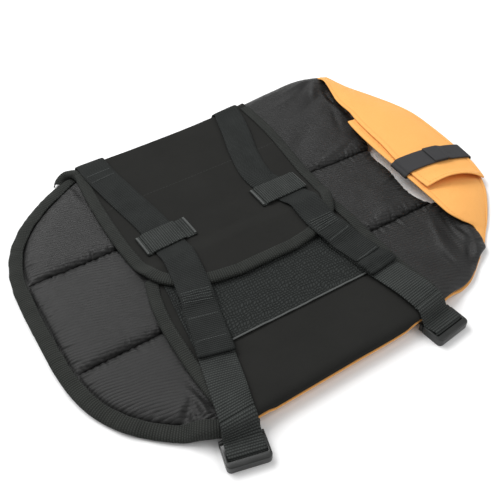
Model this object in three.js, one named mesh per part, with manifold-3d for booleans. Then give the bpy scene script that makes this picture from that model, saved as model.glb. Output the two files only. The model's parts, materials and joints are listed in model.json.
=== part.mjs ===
// Dog life jacket, lying flat on its back with the lining up and both belly flaps closed over it.
// Millimetres, +X from tail to neck, +Y to the far side, +Z up. The underside rests at z = 0.

import * as THREE from "three";
import { mergeVertices } from "three/addons/utils/BufferGeometryUtils.js";
import Module from "manifold-3d";

const wasm = await Module();
wasm.setup();

// Cloth thicknesses and the clearance kept between neighbouring pieces
const GAP = 0.3;
const SHELL_CLOTH = 1.2;
const BINDING_TAPE = 1.0;
const NEOPRENE = 2.2;
const HOOK_PILE = 1.0;
const WEBBING = 1.5;
const BAND_CLOTH = 1.8;
const NECK_TAPE = 1.4;
const LOOP_TAPE = 1.3;

// Heights of the stacked layers
const PAD_CROWN = 10;
const PAD_EDGE = 1.0;
const PAD_SEAT = SHELL_CLOTH + GAP;
const FLAP_TAPE_GAP = 0.45;
const FLAP_TAPE = BINDING_TAPE + FLAP_TAPE_GAP;
const FLAP_UNDER = PAD_CROWN + FLAP_TAPE + 2 * GAP;
const FLAP_TOP = FLAP_UNDER + NEOPRENE;
const HOOK_UNDER = FLAP_TOP + GAP;
const OVERLAP_UNDER = FLAP_TOP + 2 * FLAP_TAPE + GAP;
const OVERLAP_TOP = OVERLAP_UNDER + NEOPRENE;

// Back panel outline
const TAIL_REACH = 208.6;
const TAIL_DEPTH = 95;
const TAIL_HALF = 172.5;
const TAIL_POWER = 3.7;
const TAIL_BINDING = { near: -163, far: 176 };
const BINDING_LEG = 12;
const BINDING_BEND = 1.2;
const SHELL_LEDGE = 1.8;
const FLAP_WALL_INSET = 1.2;
const PAD_INSET = 1.8;

// The two side edges, from tail to neck
const SIDES = [
  { x: -230, near: -172, far: 176 },
  { x: -130, near: -169, far: 177 },
  { x: 0, near: -165.5, far: 178.5 },
  { x: 60, near: -164, far: 181 },
  { x: 100, near: -158, far: 185 },
  { x: 125, near: -153.5, far: 190 },
  { x: 150, near: -147.5, far: 193 },
  { x: 190, near: -124, far: 195.5 },
  { x: 230, near: -112, far: 186 },
];

// The concave neck edge, from the near corner to the far corner
const NECK_EDGE = [
  { y: -140, x: 165 },
  { y: -131, x: 180 },
  { y: -117, x: 190 },
  { y: -100, x: 194.5 },
  { y: -80, x: 195 },
  { y: -58, x: 191 },
  { y: -45, x: 177 },
  { y: -27, x: 173 },
  { y: 8, x: 178 },
  { y: 36, x: 178 },
  { y: 54, x: 187 },
  { y: 100, x: 203 },
  { y: 150, x: 213 },
  { y: 195, x: 221 },
];

// The two quilt seams, at the tail and at the neck
const SEAM_X = { tail: -200, neck: 170 };
const SEAM_NEAR = { tail: -56, neck: -52 };
const SEAM_FAR = { tail: 56, neck: 48 };
const SEAM_VALLEY = 0.45;
const SEAM_REACH = 20;
const SIDE_REACH = 9;
const TAIL_FLAT = 7;
const TAIL_REACH_IN = 30;
const NECK_REACH = 8;
const NECK_RIM = 0.3;

// Soft troughs and ridges of the lining: centre, heading in degrees, length, width and height
const LINING_FOLDS = [
  { x: 168, y: -102, heading: 72, length: 44, width: 7, height: -3.5 },
  { x: 150, y: -112, heading: 78, length: 36, width: 6, height: 1.6 },
  { x: 180, y: -118, heading: 60, length: 30, width: 6, height: 2.2 },
  { x: 186, y: 150, heading: 25, length: 46, width: 7, height: -2.6 },
  { x: 160, y: 166, heading: 10, length: 40, width: 6, height: 1.4 },
  { x: 132, y: 96, heading: 38, length: 50, width: 9, height: -1.6 },
  { x: 140, y: -30, heading: 55, length: 40, width: 10, height: 0.9 },
  { x: -138, y: -140, heading: 40, length: 34, width: 6, height: -2.4 },
  { x: -160, y: 138, heading: -40, length: 36, width: 8, height: -1.4 },
];

// Belly flaps: side edges from the fold to the free edge
const FAR_FLAP_EDGES = [
  { y: 180, left: -101, right: 109 },
  { y: 123, left: -107, right: 110 },
  { y: 55, left: -109, right: 104 },
  { y: 12, left: -106, right: 101 },
  { y: -5, left: -101, right: 95 },
  { y: -18, left: -92, right: 87 },
  { y: -29, left: -77, right: 73 },
  { y: -37, left: -56, right: 52 },
  { y: -41, left: -32, right: 30 },
];
const NEAR_FLAP_EDGES = [
  { y: 0, left: -104, right: 98 },
  { y: -25, left: -112, right: 101 },
  { y: -60, left: -117, right: 101 },
  { y: -110, left: -118, right: 102 },
  { y: -145, left: -117, right: 104 },
  { y: -175, left: -114, right: 105 },
];
const OVERLAP = { full: 0, none: 20 };
const FAR_FLAP_END = -41;
const NEAR_FLAP_END = -4;
const FLAP_BINDING_LEG = 9;
const FLAP_FOLD_REACH = 6;
const FOLD_ENDS_INSIDE = 8.5;
const CORNER_STATIONS = [-25, -31, -36, -39.5];
const HOOK_PATCH = [
  { y: -99, left: -106, right: 66 },
  { y: -17, left: -95, right: 60 },
];

// Webbing straps: centre line of each from the far edge to the near edge
const STRAP_WIDTH = 30;
const STRAP_LINES = {
  left: [
    { y: 190, x: -84 },
    { y: 146, x: -82 },
    { y: 59, x: -69 },
    { y: 17, x: -68 },
    { y: -32, x: -75 },
    { y: -105, x: -93 },
    { y: -176, x: -112 },
    { y: -200, x: -117 },
  ],
  right: [
    { y: 190, x: 86 },
    { y: 146, x: 75 },
    { y: 97, x: 60 },
    { y: 60, x: 55 },
    { y: 20, x: 69 },
    { y: -32, x: 68 },
    { y: -89, x: 79 },
    { y: -140, x: 86 },
    { y: -195, x: 92 },
  ],
};
const STRAP_END = { left: -106, right: -104 };
const STRAP_END_FOLD = 17;
const STRAP_TURN = { clear: 0.4, reach: 9.3, wall: 5 };
const LOWER_WEBBING_START = -52;
const KEEPERS = {
  left: { from: -91, to: -39, y: 37, turn: 2 },
  right: { from: 35, to: 86, y: 37, turn: 1 },
};
const KEEPER_WIDTH = 26;
const KEEPER_RAMP = 3;

// Heights of the upper straps from far to near, and of the lower webbing
const UPPER_LEVELS = [
  { y: 130, z: FLAP_TOP + FLAP_TAPE + GAP },
  { y: 100, z: FLAP_TOP + GAP },
  { y: OVERLAP.none + 4, z: FLAP_TOP + GAP },
  { y: OVERLAP.full + 2, z: OVERLAP_TOP + FLAP_TAPE + GAP },
  { y: -46, z: OVERLAP_TOP + FLAP_TAPE + GAP },
  { y: -62, z: FLAP_TOP + FLAP_TAPE + WEBBING + 2 * GAP },
];
const LOWER_UNDER = FLAP_TOP + FLAP_TAPE + GAP;

// Way of the lower webbing over the near edge, from the edge outwards, as drops from its level there
const EDGE_DROP = [
  { out: -4, drop: 0.03 },
  { out: -1, drop: 0.1 },
  { out: 1.5, drop: 0.3 },
  { out: 3.8, drop: 0.6 },
  { out: 6.3, drop: 0.87 },
  { out: 9.5, drop: 1 },
];

// Side-release buckles: middle of the outer end and heading of the inward axis in degrees
const BUCKLES = {
  left: { x: -117.5, y: -197, heading: -14 },
  right: { x: 93.5, y: -187, heading: 7 },
};
const BUCKLE = { width: 36, thickness: 8, plug: 21, socket: 25, corner: 4, bevel: 0.8 };
const BUCKLE_SLOT = { width: 31.4, length: 5, from: 6 };
const SOCKET_BAR = { length: 4, lower: 2.6 };
const SOCKET_WINDOW = { depth: 5, length: 8, from: 3 };
const BUCKLE_RAMP = 24;
const BUCKLE_MARGIN = 5.8;
const STRAP_RAMP = 20;
const STRAP_MARGIN = 8;
const TAIL_RAMP = 14;
const LIFT_SLACK = 0.25;
const PRESSED = { height: 3.9, ramp: 45 };

// The near edge between the buckles, held up by them as a share of their own lift
const NEAR_SPAN = { share: 0.75, inner: -158, ramp: 34 };

// Chest band: rows from the far corner of the neck to the near one, inner edge and outer edge
const BAND_ROWS = [
  { xi: 216.4, yi: 186, zi: 6, xo: 230, yo: 187, zo: 2.6, bulge: 0.5 },
  { xi: 213, yi: 168, zi: 14.5, xo: 237, yo: 155, zo: 4, bulge: 1.5 },
  { xi: 203, yi: 138, zi: 17.5, xo: 250, yo: 127, zo: 4, bulge: 3 },
  { xi: 192, yi: 106, zi: 18.5, xo: 263, yo: 97, zo: 4, bulge: 4 },
  { xi: 185, yi: 78, zi: 18.5, xo: 269, yo: 70, zo: 5, bulge: 5 },
  { xi: 182, yi: 40, zi: 18.5, xo: 270, yo: 36, zo: 5, bulge: 5 },
  { xi: 181.5, yi: 0, zi: 18.5, xo: 268.5, yo: 2, zo: 5, bulge: 5 },
  { xi: 181, yi: -36, zi: 18.5, xo: 264, yo: -34, zo: 5, bulge: 5 },
  { xi: 180.5, yi: -61, zi: 18.5, xo: 252, yo: -62, zo: 4.5, bulge: 4.5 },
  { xi: 181.5, yi: -80, zi: 17, xo: 236, yo: -82, zo: 4, bulge: 3.5 },
  { xi: 188.5, yi: -93.5, zi: 13.6, xo: 217, yo: -101, zo: 3.5, bulge: 1.6 },
  { xi: 197, yi: -104, zi: 8, xo: 205, yo: -111, zo: 3, bulge: 0.5 },
  { xi: 189.8, yi: -120.2, zi: 5.5, xo: 192.6, yo: -122.3, zo: 3, bulge: 0.1 },
];

// The two band panels: first row, last row at the inner and the outer edge, and inner edge's depth
const NEAR_PANEL = { start: 3.7, innerEnd: 12, outerEnd: 12, inner: 0, tabInner: 0 };
const FAR_PANEL = { start: 0, innerEnd: 7.32, outerEnd: 7.68, inner: 0.1, tabInner: 0.055 };
const PANEL_WIDENS = { from: 2.2, to: 3.4 };
const TAB_NARROWS = { from: 5, to: 6.1 };
const TAB_LIFT = { from: 6.9, height: 4.5, ends: 0.25 };
const PANEL_GAP = 0.5;
const PANEL_ENDS = 0.02;
const BAND_HEM = 0.01;
const NECK_STRAP = { inner: 6.2, outer: 6.35, reach: 0.27, lapStart: 0.62, lapEnd: 0.42 };

const { smoothstep, lerp, degToRad } = THREE.MathUtils;
const point = (x, y, z) => new THREE.Vector3(x, y, z);
const evenly = (count, from = 0, to = 1) =>
  Array.from({ length: count + 1 }, (_, i) => lerp(from, to, i / count));
const crowded = (count) => evenly(count).map((k) => 0.5 - 0.5 * Math.cos(Math.PI * k));

// Smooth value of one column of a table at a value of its key column
function column(rows, key, name, at) {
  const up = rows[rows.length - 1][key] > rows[0][key];
  const ordered = up ? rows : [...rows].reverse();
  const last = ordered.length - 1;
  if (at <= ordered[0][key]) return ordered[0][name];
  if (at >= ordered[last][key]) return ordered[last][name];
  const i = ordered.findIndex((row) => row[key] > at) - 1;
  const slope = (n) => {
    const a = ordered[Math.max(n - 1, 0)];
    const b = ordered[Math.min(n + 1, last)];
    return (b[name] - a[name]) / (b[key] - a[key]);
  };
  const span = ordered[i + 1][key] - ordered[i][key];
  const k = (at - ordered[i][key]) / span;
  const rise = ordered[i + 1][name] - ordered[i][name];
  const first = slope(i) * span;
  const second = slope(i + 1) * span;
  const square = 3 * rise - 2 * first - second;
  const cube = first + second - 2 * rise;
  return ordered[i][name] + k * (first + k * (square + k * cube));
}

// Closed solid between two grids of points, the upper one on the side of rows crossed with columns
function solidBetween(lower, upper) {
  const rows = upper.length;
  const cols = upper[0].length;
  const positions = [...upper.flat(), ...lower.flat()].flatMap((p) => [p.x, p.y, p.z]);
  const top = (i, j) => i * cols + j;
  const bottom = (i, j) => rows * cols + i * cols + j;
  const index = [];
  const quad = (a, b, c, d) => index.push(a, b, c, a, c, d);
  for (let i = 0; i < rows - 1; i++) {
    for (let j = 0; j < cols - 1; j++) {
      quad(top(i, j), top(i + 1, j), top(i + 1, j + 1), top(i, j + 1));
      quad(bottom(i, j), bottom(i, j + 1), bottom(i + 1, j + 1), bottom(i + 1, j));
    }
  }
  for (let i = 0; i < rows - 1; i++) {
    quad(bottom(i, 0), bottom(i + 1, 0), top(i + 1, 0), top(i, 0));
    quad(bottom(i + 1, cols - 1), bottom(i, cols - 1), top(i, cols - 1), top(i + 1, cols - 1));
  }
  for (let j = 0; j < cols - 1; j++) {
    quad(bottom(0, j + 1), bottom(0, j), top(0, j), top(0, j + 1));
    quad(bottom(rows - 1, j), bottom(rows - 1, j + 1), top(rows - 1, j + 1), top(rows - 1, j));
  }
  const geometry = new THREE.BufferGeometry();
  geometry.setAttribute("position", new THREE.Float32BufferAttribute(positions, 3));
  geometry.setIndex(index);
  return geometry;
}

// Unit normal of a grid of points at one of them
function gridNormal(grid, i, j) {
  const rows = grid.length - 1;
  const cols = grid[0].length - 1;
  const du = point(0, 0, 0).subVectors(grid[Math.min(i + 1, rows)][j], grid[Math.max(i - 1, 0)][j]);
  const dv = point(0, 0, 0).subVectors(grid[i][Math.min(j + 1, cols)], grid[i][Math.max(j - 1, 0)]);
  return du.cross(dv).normalize();
}

const movedOut = (grid, amount) =>
  grid.map((row, i) => row.map((p, j) => p.clone().addScaledVector(gridNormal(grid, i, j), amount)));

// Cloth wall whose inner face is the grid
const wall = (grid, thickness) => solidBetween(grid, movedOut(grid, thickness));

function mesh(name, geometry, material) {
  geometry.computeVertexNormals();
  const made = new THREE.Mesh(geometry, material);
  made.name = name;
  return made;
}

const cloth = (color, roughness) => new THREE.MeshStandardMaterial({ color, roughness, metalness: 0 });
const orangeNylon = cloth(0xf0914a, 0.7);
const liningTaffeta = cloth(0x2e2e30, 0.45);
const neopreneBlack = cloth(0x171615, 0.9);
const bindingBlack = cloth(0x1d1e1e, 0.75);
const webbingBlack = cloth(0x1c1e1d, 0.7);
const loopPile = cloth(0x222424, 0.95);
const neckTapeBlack = cloth(0x2a2b2d, 0.8);
const buckleBlack = cloth(0x141414, 0.4);

// Plan curves of the back panel
const tailX = (y) => -TAIL_REACH + TAIL_DEPTH * (Math.abs(y) / TAIL_HALF) ** TAIL_POWER;
const neckX = (y) => column(NECK_EDGE, "y", "x", y);
const sideNear = (x) => column(SIDES, "x", "near", x);
const sideFar = (x) => column(SIDES, "x", "far", x);
const seam = (ends, x) => lerp(ends.tail, ends.neck, (x - SEAM_X.tail) / (SEAM_X.neck - SEAM_X.tail));
const seamNear = (x) => seam(SEAM_NEAR, x);
const seamFar = (x) => seam(SEAM_FAR, x);
const strapX = (side, y) => column(STRAP_LINES[side], "y", "x", y);

function tailDistance(x, y) {
  const step = 1;
  const slope = (tailX(Math.abs(y) + step) - tailX(Math.abs(y) - step)) / (2 * step);
  return (x - tailX(y)) / Math.hypot(1, slope);
}

// Straight run of a strap under the shell, from the far edge to its buckle
function underStrapX(side, y) {
  const from = { x: strapX(side, 180), y: 180 };
  const to = buckleInner(side);
  return lerp(from.x, to.x, (from.y - y) / (from.y - to.y));
}

const buckleLength = BUCKLE.plug + BUCKLE.socket;

// Point of a buckle's axis at a distance from its outer end
function buckleAxis(side, inward) {
  const { x, y, heading } = BUCKLES[side];
  const turn = degToRad(heading);
  return { x: x - Math.sin(turn) * inward, y: y + Math.cos(turn) * inward };
}

const buckleInner = (side) => buckleAxis(side, buckleLength);

// Distance in plan from the nearest buckle
function buckleDistance(x, y) {
  const distances = Object.values(BUCKLES).map(({ x: ox, y: oy, heading }) => {
    const turn = degToRad(heading);
    const across = Math.abs(Math.cos(turn) * (x - ox) + Math.sin(turn) * (y - oy));
    const inward = -Math.sin(turn) * (x - ox) + Math.cos(turn) * (y - oy);
    return Math.hypot(Math.max(across - BUCKLE.width / 2, 0), Math.max(inward - buckleLength, 0));
  });
  return Math.min(...distances);
}

// Share of the buckles' lift that the near edge keeps between them
function spanLift(x, y) {
  const ends = Object.values(BUCKLES).map((buckle) => buckle.x);
  const beyond = Math.max(Math.min(...ends) - x, x - Math.max(...ends), 0);
  const away = Math.hypot(beyond, Math.max(y - NEAR_SPAN.inner, 0)) / NEAR_SPAN.ramp;
  return NEAR_SPAN.share * (1 - smoothstep(away, 0, 1));
}

// Height by which the buckles lift the shell, and the smaller one that the soft pad passes on
function buckleLift(x, y) {
  const away = (buckleDistance(x, y) - BUCKLE_MARGIN) / BUCKLE_RAMP;
  return (BUCKLE.thickness + 2 * GAP) * Math.max(1 - smoothstep(away, 0, 1), spanLift(x, y));
}

function pressedLift(x, y) {
  const away = buckleDistance(x, y) / PRESSED.ramp;
  return PRESSED.height * Math.max(1 - smoothstep(away, 0, 1), spanLift(x, y));
}

// Height of the shell's underside: straps, buckles and the tail binding lie below it
function shellUnder(x, y) {
  let lift = buckleLift(x, y);
  for (const side of Object.keys(BUCKLES)) {
    const away = (Math.abs(x - underStrapX(side, y)) - STRAP_WIDTH / 2 - STRAP_MARGIN) / STRAP_RAMP;
    lift = Math.max(lift, (WEBBING + 2 * GAP) * (1 - smoothstep(away, 0, 1)));
  }
  const fromTail = (tailDistance(x, y) - BINDING_LEG - 2) / TAIL_RAMP;
  return Math.max(lift, (BINDING_TAPE + GAP) * (1 - smoothstep(fromTail, 0, 1)));
}

// Rounded rise from 0 at an edge to 1 at a reach inside it
function edgeRise(distance, reach) {
  const left = 1 - THREE.MathUtils.clamp(distance / reach, 0, 1);
  return Math.sqrt(1 - left * left);
}

function foldHeight(x, y) {
  let height = 0;
  for (const fold of LINING_FOLDS) {
    const turn = degToRad(fold.heading);
    const along = Math.cos(turn) * (x - fold.x) + Math.sin(turn) * (y - fold.y);
    const across = -Math.sin(turn) * (x - fold.x) + Math.cos(turn) * (y - fold.y);
    const reach = Math.exp(-((along / (fold.length / 2)) ** 2) - (across / fold.width) ** 2);
    height += fold.height * reach;
  }
  return height;
}

// Lines that run from tail to neck: the outer edges, the pads' sides and the two seams
const ledgeNear = (x) => sideNear(x) - SHELL_LEDGE;
const ledgeFar = (x) => sideFar(x) + SHELL_LEDGE;
const padNear = (x) => sideNear(x) + PAD_INSET;
const padFar = (x) => sideFar(x) - PAD_INSET;

// Plan points of the back panel between two of those lines, closer together at its ends
const PLAN_ROWS = evenly(24).map((k) => lerp(k, 0.5 - 0.5 * Math.cos(Math.PI * k), 0.5));
function panelPlan(lineA, lineB, shares) {
  const across = (x, t) => lerp(lineA(x), lineB(x), t);
  const ends = shares.map((t) => {
    let tail = -TAIL_REACH;
    let neck = SEAM_X.neck;
    for (let pass = 0; pass < 5; pass++) {
      tail = tailX(across(tail, t));
      neck = neckX(across(neck, t));
    }
    return { t, tail, neck };
  });
  return PLAN_ROWS.map((s) =>
    ends.map(({ t, tail, neck }) => {
      const x = lerp(tail, neck, s);
      return { x, y: across(x, t) };
    }),
  );
}

const planGrid = (plan, height) => plan.map((row) => row.map(({ x, y }) => point(x, y, height(x, y))));
const CHANNEL_SHARES = crowded(7);
const NEAR_CHANNEL_SHARES = [0, 0.04, 0.1, 0.18, 0.27, 0.38, 0.52, 0.68, 0.84, 0.95, 1];

// Outer cloth of the back, on the same plan points as the pads that lie on it
function shell() {
  const strips = [
    panelPlan(ledgeNear, padNear, [0]),
    panelPlan(padNear, seamNear, NEAR_CHANNEL_SHARES),
    panelPlan(seamNear, seamFar, CHANNEL_SHARES.slice(1)),
    panelPlan(seamFar, padFar, CHANNEL_SHARES.slice(1)),
    panelPlan(padFar, ledgeFar, [1]),
  ];
  const plan = PLAN_ROWS.map((_, i) => strips.flatMap((strip) => strip[i]));
  const under = planGrid(plan, shellUnder);
  const top = planGrid(plan, (x, y) => shellUnder(x, y) + SHELL_CLOTH);
  return mesh("shell", solidBetween(under, top), orangeNylon);
}

// Foam channel covered by the lining
function pad(name, lineA, lineB, openA, openB, shares) {
  const inset = (plan) =>
    plan.map((row) => {
      const last = row.length - 1;
      return row.map(({ x, y }, j) => ({ x, y: y + (j === 0 ? GAP / 2 : 0) - (j === last ? GAP / 2 : 0) }));
    });
  const plan = inset(panelPlan(lineA, lineB, shares));
  const seamRise = (d) => SEAM_VALLEY + (1 - SEAM_VALLEY) * edgeRise(d, SEAM_REACH);
  const rise = (x, y) => {
    const a = y - lineA(x);
    const b = lineB(x) - y;
    const nearSide = openA ? edgeRise(a, SIDE_REACH) : seamRise(a);
    const farSide = openB ? edgeRise(b, SIDE_REACH) : seamRise(b);
    const tail = edgeRise(tailDistance(x, y) - BINDING_LEG - TAIL_FLAT, TAIL_REACH_IN);
    const neck = NECK_RIM + (1 - NECK_RIM) * edgeRise(neckX(y) - x, NECK_REACH);
    return nearSide * farSide * tail * neck;
  };
  const under = planGrid(plan, (x, y) => shellUnder(x, y) + PAD_SEAT);
  const top = planGrid(plan, (x, y) => {
    const lowest = shellUnder(x, y) + PAD_SEAT + PAD_EDGE;
    const crown = PAD_CROWN + pressedLift(x, y);
    const share = rise(x, y);
    return Math.max(lowest, lerp(lowest, crown, share) + foldHeight(x, y) * share);
  });
  return mesh(name, solidBetween(under, top), liningTaffeta);
}

const pads = () => [
  pad("pad_near", padNear, seamNear, true, false, NEAR_CHANNEL_SHARES),
  pad("pad_centre", seamNear, seamFar, false, false, CHANNEL_SHARES),
  pad("pad_far", seamFar, padFar, false, true, CHANNEL_SHARES),
];

// Tape folded round a plan path whose outer side is on the left; heights are those of the two faces
// that the tape covers
function foldedTape(path, leg, lower, upper) {
  const last = path.length - 1;
  const section = [
    { out: -leg, level: 1 },
    { out: 0, level: 1 },
    { out: BINDING_BEND, level: 0.75 },
    { out: BINDING_BEND, level: 0.25 },
    { out: 0, level: 0 },
    { out: -leg, level: 0 },
  ];
  const grid = path.map(({ x, y }, i) => {
    const a = path[Math.max(i - 1, 0)];
    const b = path[Math.min(i + 1, last)];
    const length = Math.hypot(b.x - a.x, b.y - a.y);
    const outX = (a.y - b.y) / length;
    const outY = (b.x - a.x) / length;
    return section.map(({ out, level }) => {
      const px = x + outX * out;
      const py = y + outY * out;
      return point(px, py, lerp(lower(px, py), upper(px, py), level));
    });
  });
  return solidBetween(grid, movedOut(grid, BINDING_TAPE));
}

function tailBinding() {
  const path = crowded(40).map((k) => {
    const y = lerp(TAIL_BINDING.near, TAIL_BINDING.far, k);
    return { x: tailX(y) - GAP, y };
  });
  const slack = (x, y) => GAP + LIFT_SLACK * buckleLift(x, y);
  const lower = (x, y) => Math.max(shellUnder(x, y) - slack(x, y), BINDING_TAPE);
  const upper = (x, y) => shellUnder(x, y) + PAD_SEAT + PAD_EDGE + slack(x, y) + 2.5 * GAP;
  return mesh("tail_binding", foldedTape(path, BINDING_LEG, lower, upper), bindingBlack);
}

const overlapShare = (y) => 1 - smoothstep(y, OVERLAP.full, OVERLAP.none);
const farFlapUnder = (x, y) => lerp(FLAP_UNDER, OVERLAP_UNDER, overlapShare(y));
const nearFlapUnder = (x, y) => FLAP_UNDER + pressedLift(x, y);

// Stations of a flap from its fold to its free edge, closer together where it steps over the other
function flapStations(fold, freeEdge) {
  const stops = [fold, OVERLAP.none + 2, OVERLAP.full - 2, freeEdge];
  if (fold < 0) return evenly(12, fold, freeEdge);
  const steps = [8, 5, 5];
  return steps.flatMap((count, n) => evenly(count, stops[n], stops[n + 1]).slice(n ? 1 : 0));
}

const FLAP_COLUMNS = [0, 0.045, 0.1, 0.2, 0.32, 0.44, 0.56, 0.68, 0.8, 0.9, 0.955, 1];

// Inner face of a belly flap: it rises beside the pad, turns over it and runs to its free edge
function flapGrid(edges, side, direction, freeEdge, underAt) {
  const across = (y, u) => lerp(column(edges, "y", "left", y), column(edges, "y", "right", y), u);
  const edgeY = (x) => side(x) - direction * FLAP_WALL_INSET;
  const foot = (x) => {
    const slack = 2 * GAP + LIFT_SLACK * buckleLift(x, side(x));
    return shellUnder(x, side(x)) + SHELL_CLOTH + slack;
  };
  const turned = (x) => underAt(x, edgeY(x) - direction * FLAP_FOLD_REACH);
  const turnStart = (x) => lerp(foot(x), turned(x), 0.35);
  const foldX = FLAP_COLUMNS.map((u) => across(side(across(side(0), u)), u));
  const grid = [0, 0.5, 1].map((k) =>
    foldX.map((x) => point(x, edgeY(x), lerp(foot(x), turnStart(x), k))),
  );
  for (const k of evenly(4).slice(1)) {
    const angle = (Math.PI / 2) * k;
    grid.push(foldX.map((x) => {
      const y = edgeY(x) - direction * FLAP_FOLD_REACH * (1 - Math.cos(angle));
      return point(x, y, turnStart(x) + (turned(x) - turnStart(x)) * Math.sin(angle));
    }));
  }
  const fold = edgeY(0) - direction * FLAP_FOLD_REACH;
  const stations = flapStations(fold, freeEdge).slice(1);
  for (const station of stations) {
    const share = (station - fold) / (freeEdge - fold);
    grid.push(FLAP_COLUMNS.map((u, j) => {
      const start = edgeY(foldX[j]) - direction * FLAP_FOLD_REACH;
      const y = station + (start - fold) * (1 - share) ** 2;
      const x = across(y, u);
      return point(x, y, underAt(x, y));
    }));
  }
  return grid;
}

const reversedColumns = (grid) => grid.map((row) => [...row].reverse());

function farFlap() {
  const grid = flapGrid(FAR_FLAP_EDGES, sideFar, 1, FAR_FLAP_END, farFlapUnder);
  return mesh("belly_flap_far", wall(grid, NEOPRENE), neopreneBlack);
}

function nearFlap() {
  const grid = flapGrid(NEAR_FLAP_EDGES, sideNear, -1, NEAR_FLAP_END, nearFlapUnder);
  return mesh("belly_flap_near", wall(reversedColumns(grid), NEOPRENE), neopreneBlack);
}

// Tape round the two sides and the free edge of a flap
function flapBinding(name, edges, side, direction, freeEdge, underAt) {
  const down = (edge) => {
    const start = side(column(edges, "y", edge, side(0)));
    const from = start - direction * (FLAP_WALL_INSET + FLAP_FOLD_REACH + FOLD_ENDS_INSIDE);
    const corner = direction > 0 ? CORNER_STATIONS : [];
    const stations = [...flapStations(from, freeEdge), ...corner];
    stations.sort((a, b) => direction * (b - a));
    return stations.map((y) => ({ x: column(edges, "y", edge, y), y }));
  };
  const left = down("left");
  const right = down("right").reverse();
  const a = left[left.length - 1];
  const b = right[0];
  const middle = evenly(6).slice(1, -1).map((k) => ({ x: lerp(a.x, b.x, k), y: freeEdge }));
  const path = [...left, ...middle, ...right];
  if (direction > 0) path.reverse();
  const slack = (x, y) => FLAP_TAPE_GAP + LIFT_SLACK * pressedLift(x, y);
  const lower = (x, y) => underAt(x, y) - FLAP_TAPE_GAP;
  const upper = (x, y) => underAt(x, y) + NEOPRENE + slack(x, y);
  return mesh(name, foldedTape(path, FLAP_BINDING_LEG, lower, upper), bindingBlack);
}

function farFlapBinding() {
  const free = FAR_FLAP_END - GAP;
  return flapBinding("belly_flap_far_binding", FAR_FLAP_EDGES, sideFar, 1, free, farFlapUnder);
}

function nearFlapBinding() {
  const free = NEAR_FLAP_END + GAP;
  return flapBinding("belly_flap_near_binding", NEAR_FLAP_EDGES, sideNear, -1, free, nearFlapUnder);
}

function hookPatch() {
  const ys = evenly(5, HOOK_PATCH[0].y, HOOK_PATCH[1].y);
  const grid = evenly(9).map((u) =>
    ys.map((y) => {
      const x = lerp(column(HOOK_PATCH, "y", "left", y), column(HOOK_PATCH, "y", "right", y), u);
      return point(x, y, HOOK_UNDER + pressedLift(x, y));
    }),
  );
  return mesh("hook_and_loop_patch", wall(grid, HOOK_PILE), loopPile);
}

// Flat webbing along stations: each holds its centre, the direction across and, where it is laid on
// cloth, the height of that cloth
function ribbon(stations, width, thicknessAt, columns = 1) {
  const grid = stations.map(({ centre, across, heightAt }) =>
    evenly(columns, -width / 2, width / 2).map((k) => {
      const p = centre.clone().addScaledVector(across, k);
      if (heightAt) p.z = heightAt(p.x, p.y);
      return p;
    }),
  );
  const outer = grid.map((row, i) =>
    row.map((p, j) => p.clone().addScaledVector(gridNormal(grid, i, j), thicknessAt(i))),
  );
  return solidBetween(grid, outer);
}

// Stations of webbing laid along plan points that run from far to near
function laidStations(plan, heightAt, firstAcross) {
  const last = plan.length - 1;
  return plan.map(({ x, y }, i) => {
    const a = plan[Math.max(i - 1, 0)];
    const b = plan[Math.min(i + 1, last)];
    const across = point(a.y - b.y, b.x - a.x, 0).normalize();
    if (firstAcross) across.lerp(firstAcross, Math.max(1 - i / 6, 0)).normalize();
    return { centre: point(x, y, heightAt(x, y)), across, heightAt };
  });
}

// Height from a table of levels, eased from one level to the next
function stepped(levels, y) {
  const i = levels.findIndex((level) => level.y <= y);
  if (i === 0) return levels[0].z;
  if (i < 0) return levels[levels.length - 1].z;
  const a = levels[i - 1];
  const b = levels[i];
  return lerp(a.z, b.z, 1 - smoothstep(y, b.y, a.y));
}

// Greatest lift under the width of a strap
const strapLift = (x, y) =>
  (1 + LIFT_SLACK) * Math.max(...[-1, 0, 1].map((k) => pressedLift(x + (k * STRAP_WIDTH) / 2, y)));

// Direction of a side edge in plan, across a strap that crosses it
function edgeAcross(sideAt, x) {
  const reach = STRAP_WIDTH / 2;
  return point(2 * reach, sideAt(x + reach) - sideAt(x - reach), 0).normalize();
}

// Upper strap: up round the far edge, over the far flap and on to its folded end
function strap(side) {
  const x0 = strapX(side, sideFar(0));
  const across = edgeAcross(sideFar, x0);
  const outerY = sideFar(x0) + SHELL_LEDGE + STRAP_TURN.clear;
  const turnY = outerY - STRAP_TURN.reach;
  const level = stepped(UPPER_LEVELS, turnY);
  const turnZ = STRAP_TURN.wall;
  const stations = evenly(2).map((k) => ({ centre: point(x0, outerY, turnZ * k), across }));
  for (const k of evenly(6).slice(1, -1)) {
    const angle = (Math.PI / 2) * k;
    const y = turnY + STRAP_TURN.reach * Math.cos(angle);
    const z = turnZ + (level - turnZ) * Math.sin(angle);
    stations.push({ centre: point(x0, y, z), across });
  }
  const endY = STRAP_END[side];
  const plan = evenly(44, turnY, endY).map((y) => ({ x: strapX(side, y), y }));
  plan[0].x = x0;
  const heightAt = (x, y) => stepped(UPPER_LEVELS, y) + strapLift(x, y);
  stations.push(...laidStations(plan, heightAt, across));
  const folded = 2 * WEBBING + GAP;
  const thickness = (i) => (stations[i].centre.y < endY + STRAP_END_FOLD ? folded : WEBBING);
  return mesh("strap_" + side, ribbon(stations, STRAP_WIDTH, thickness), webbingBlack);
}

// Direction across a buckle
const buckleAcross = (side) => {
  const turn = degToRad(BUCKLES[side].heading);
  return point(Math.cos(turn), Math.sin(turn), 0);
};

function buckleStations(side, rows) {
  return rows.map(({ inward, z }) => {
    const { x, y } = buckleAxis(side, inward);
    return { centre: point(x, y, z), across: buckleAcross(side) };
  });
}

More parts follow.
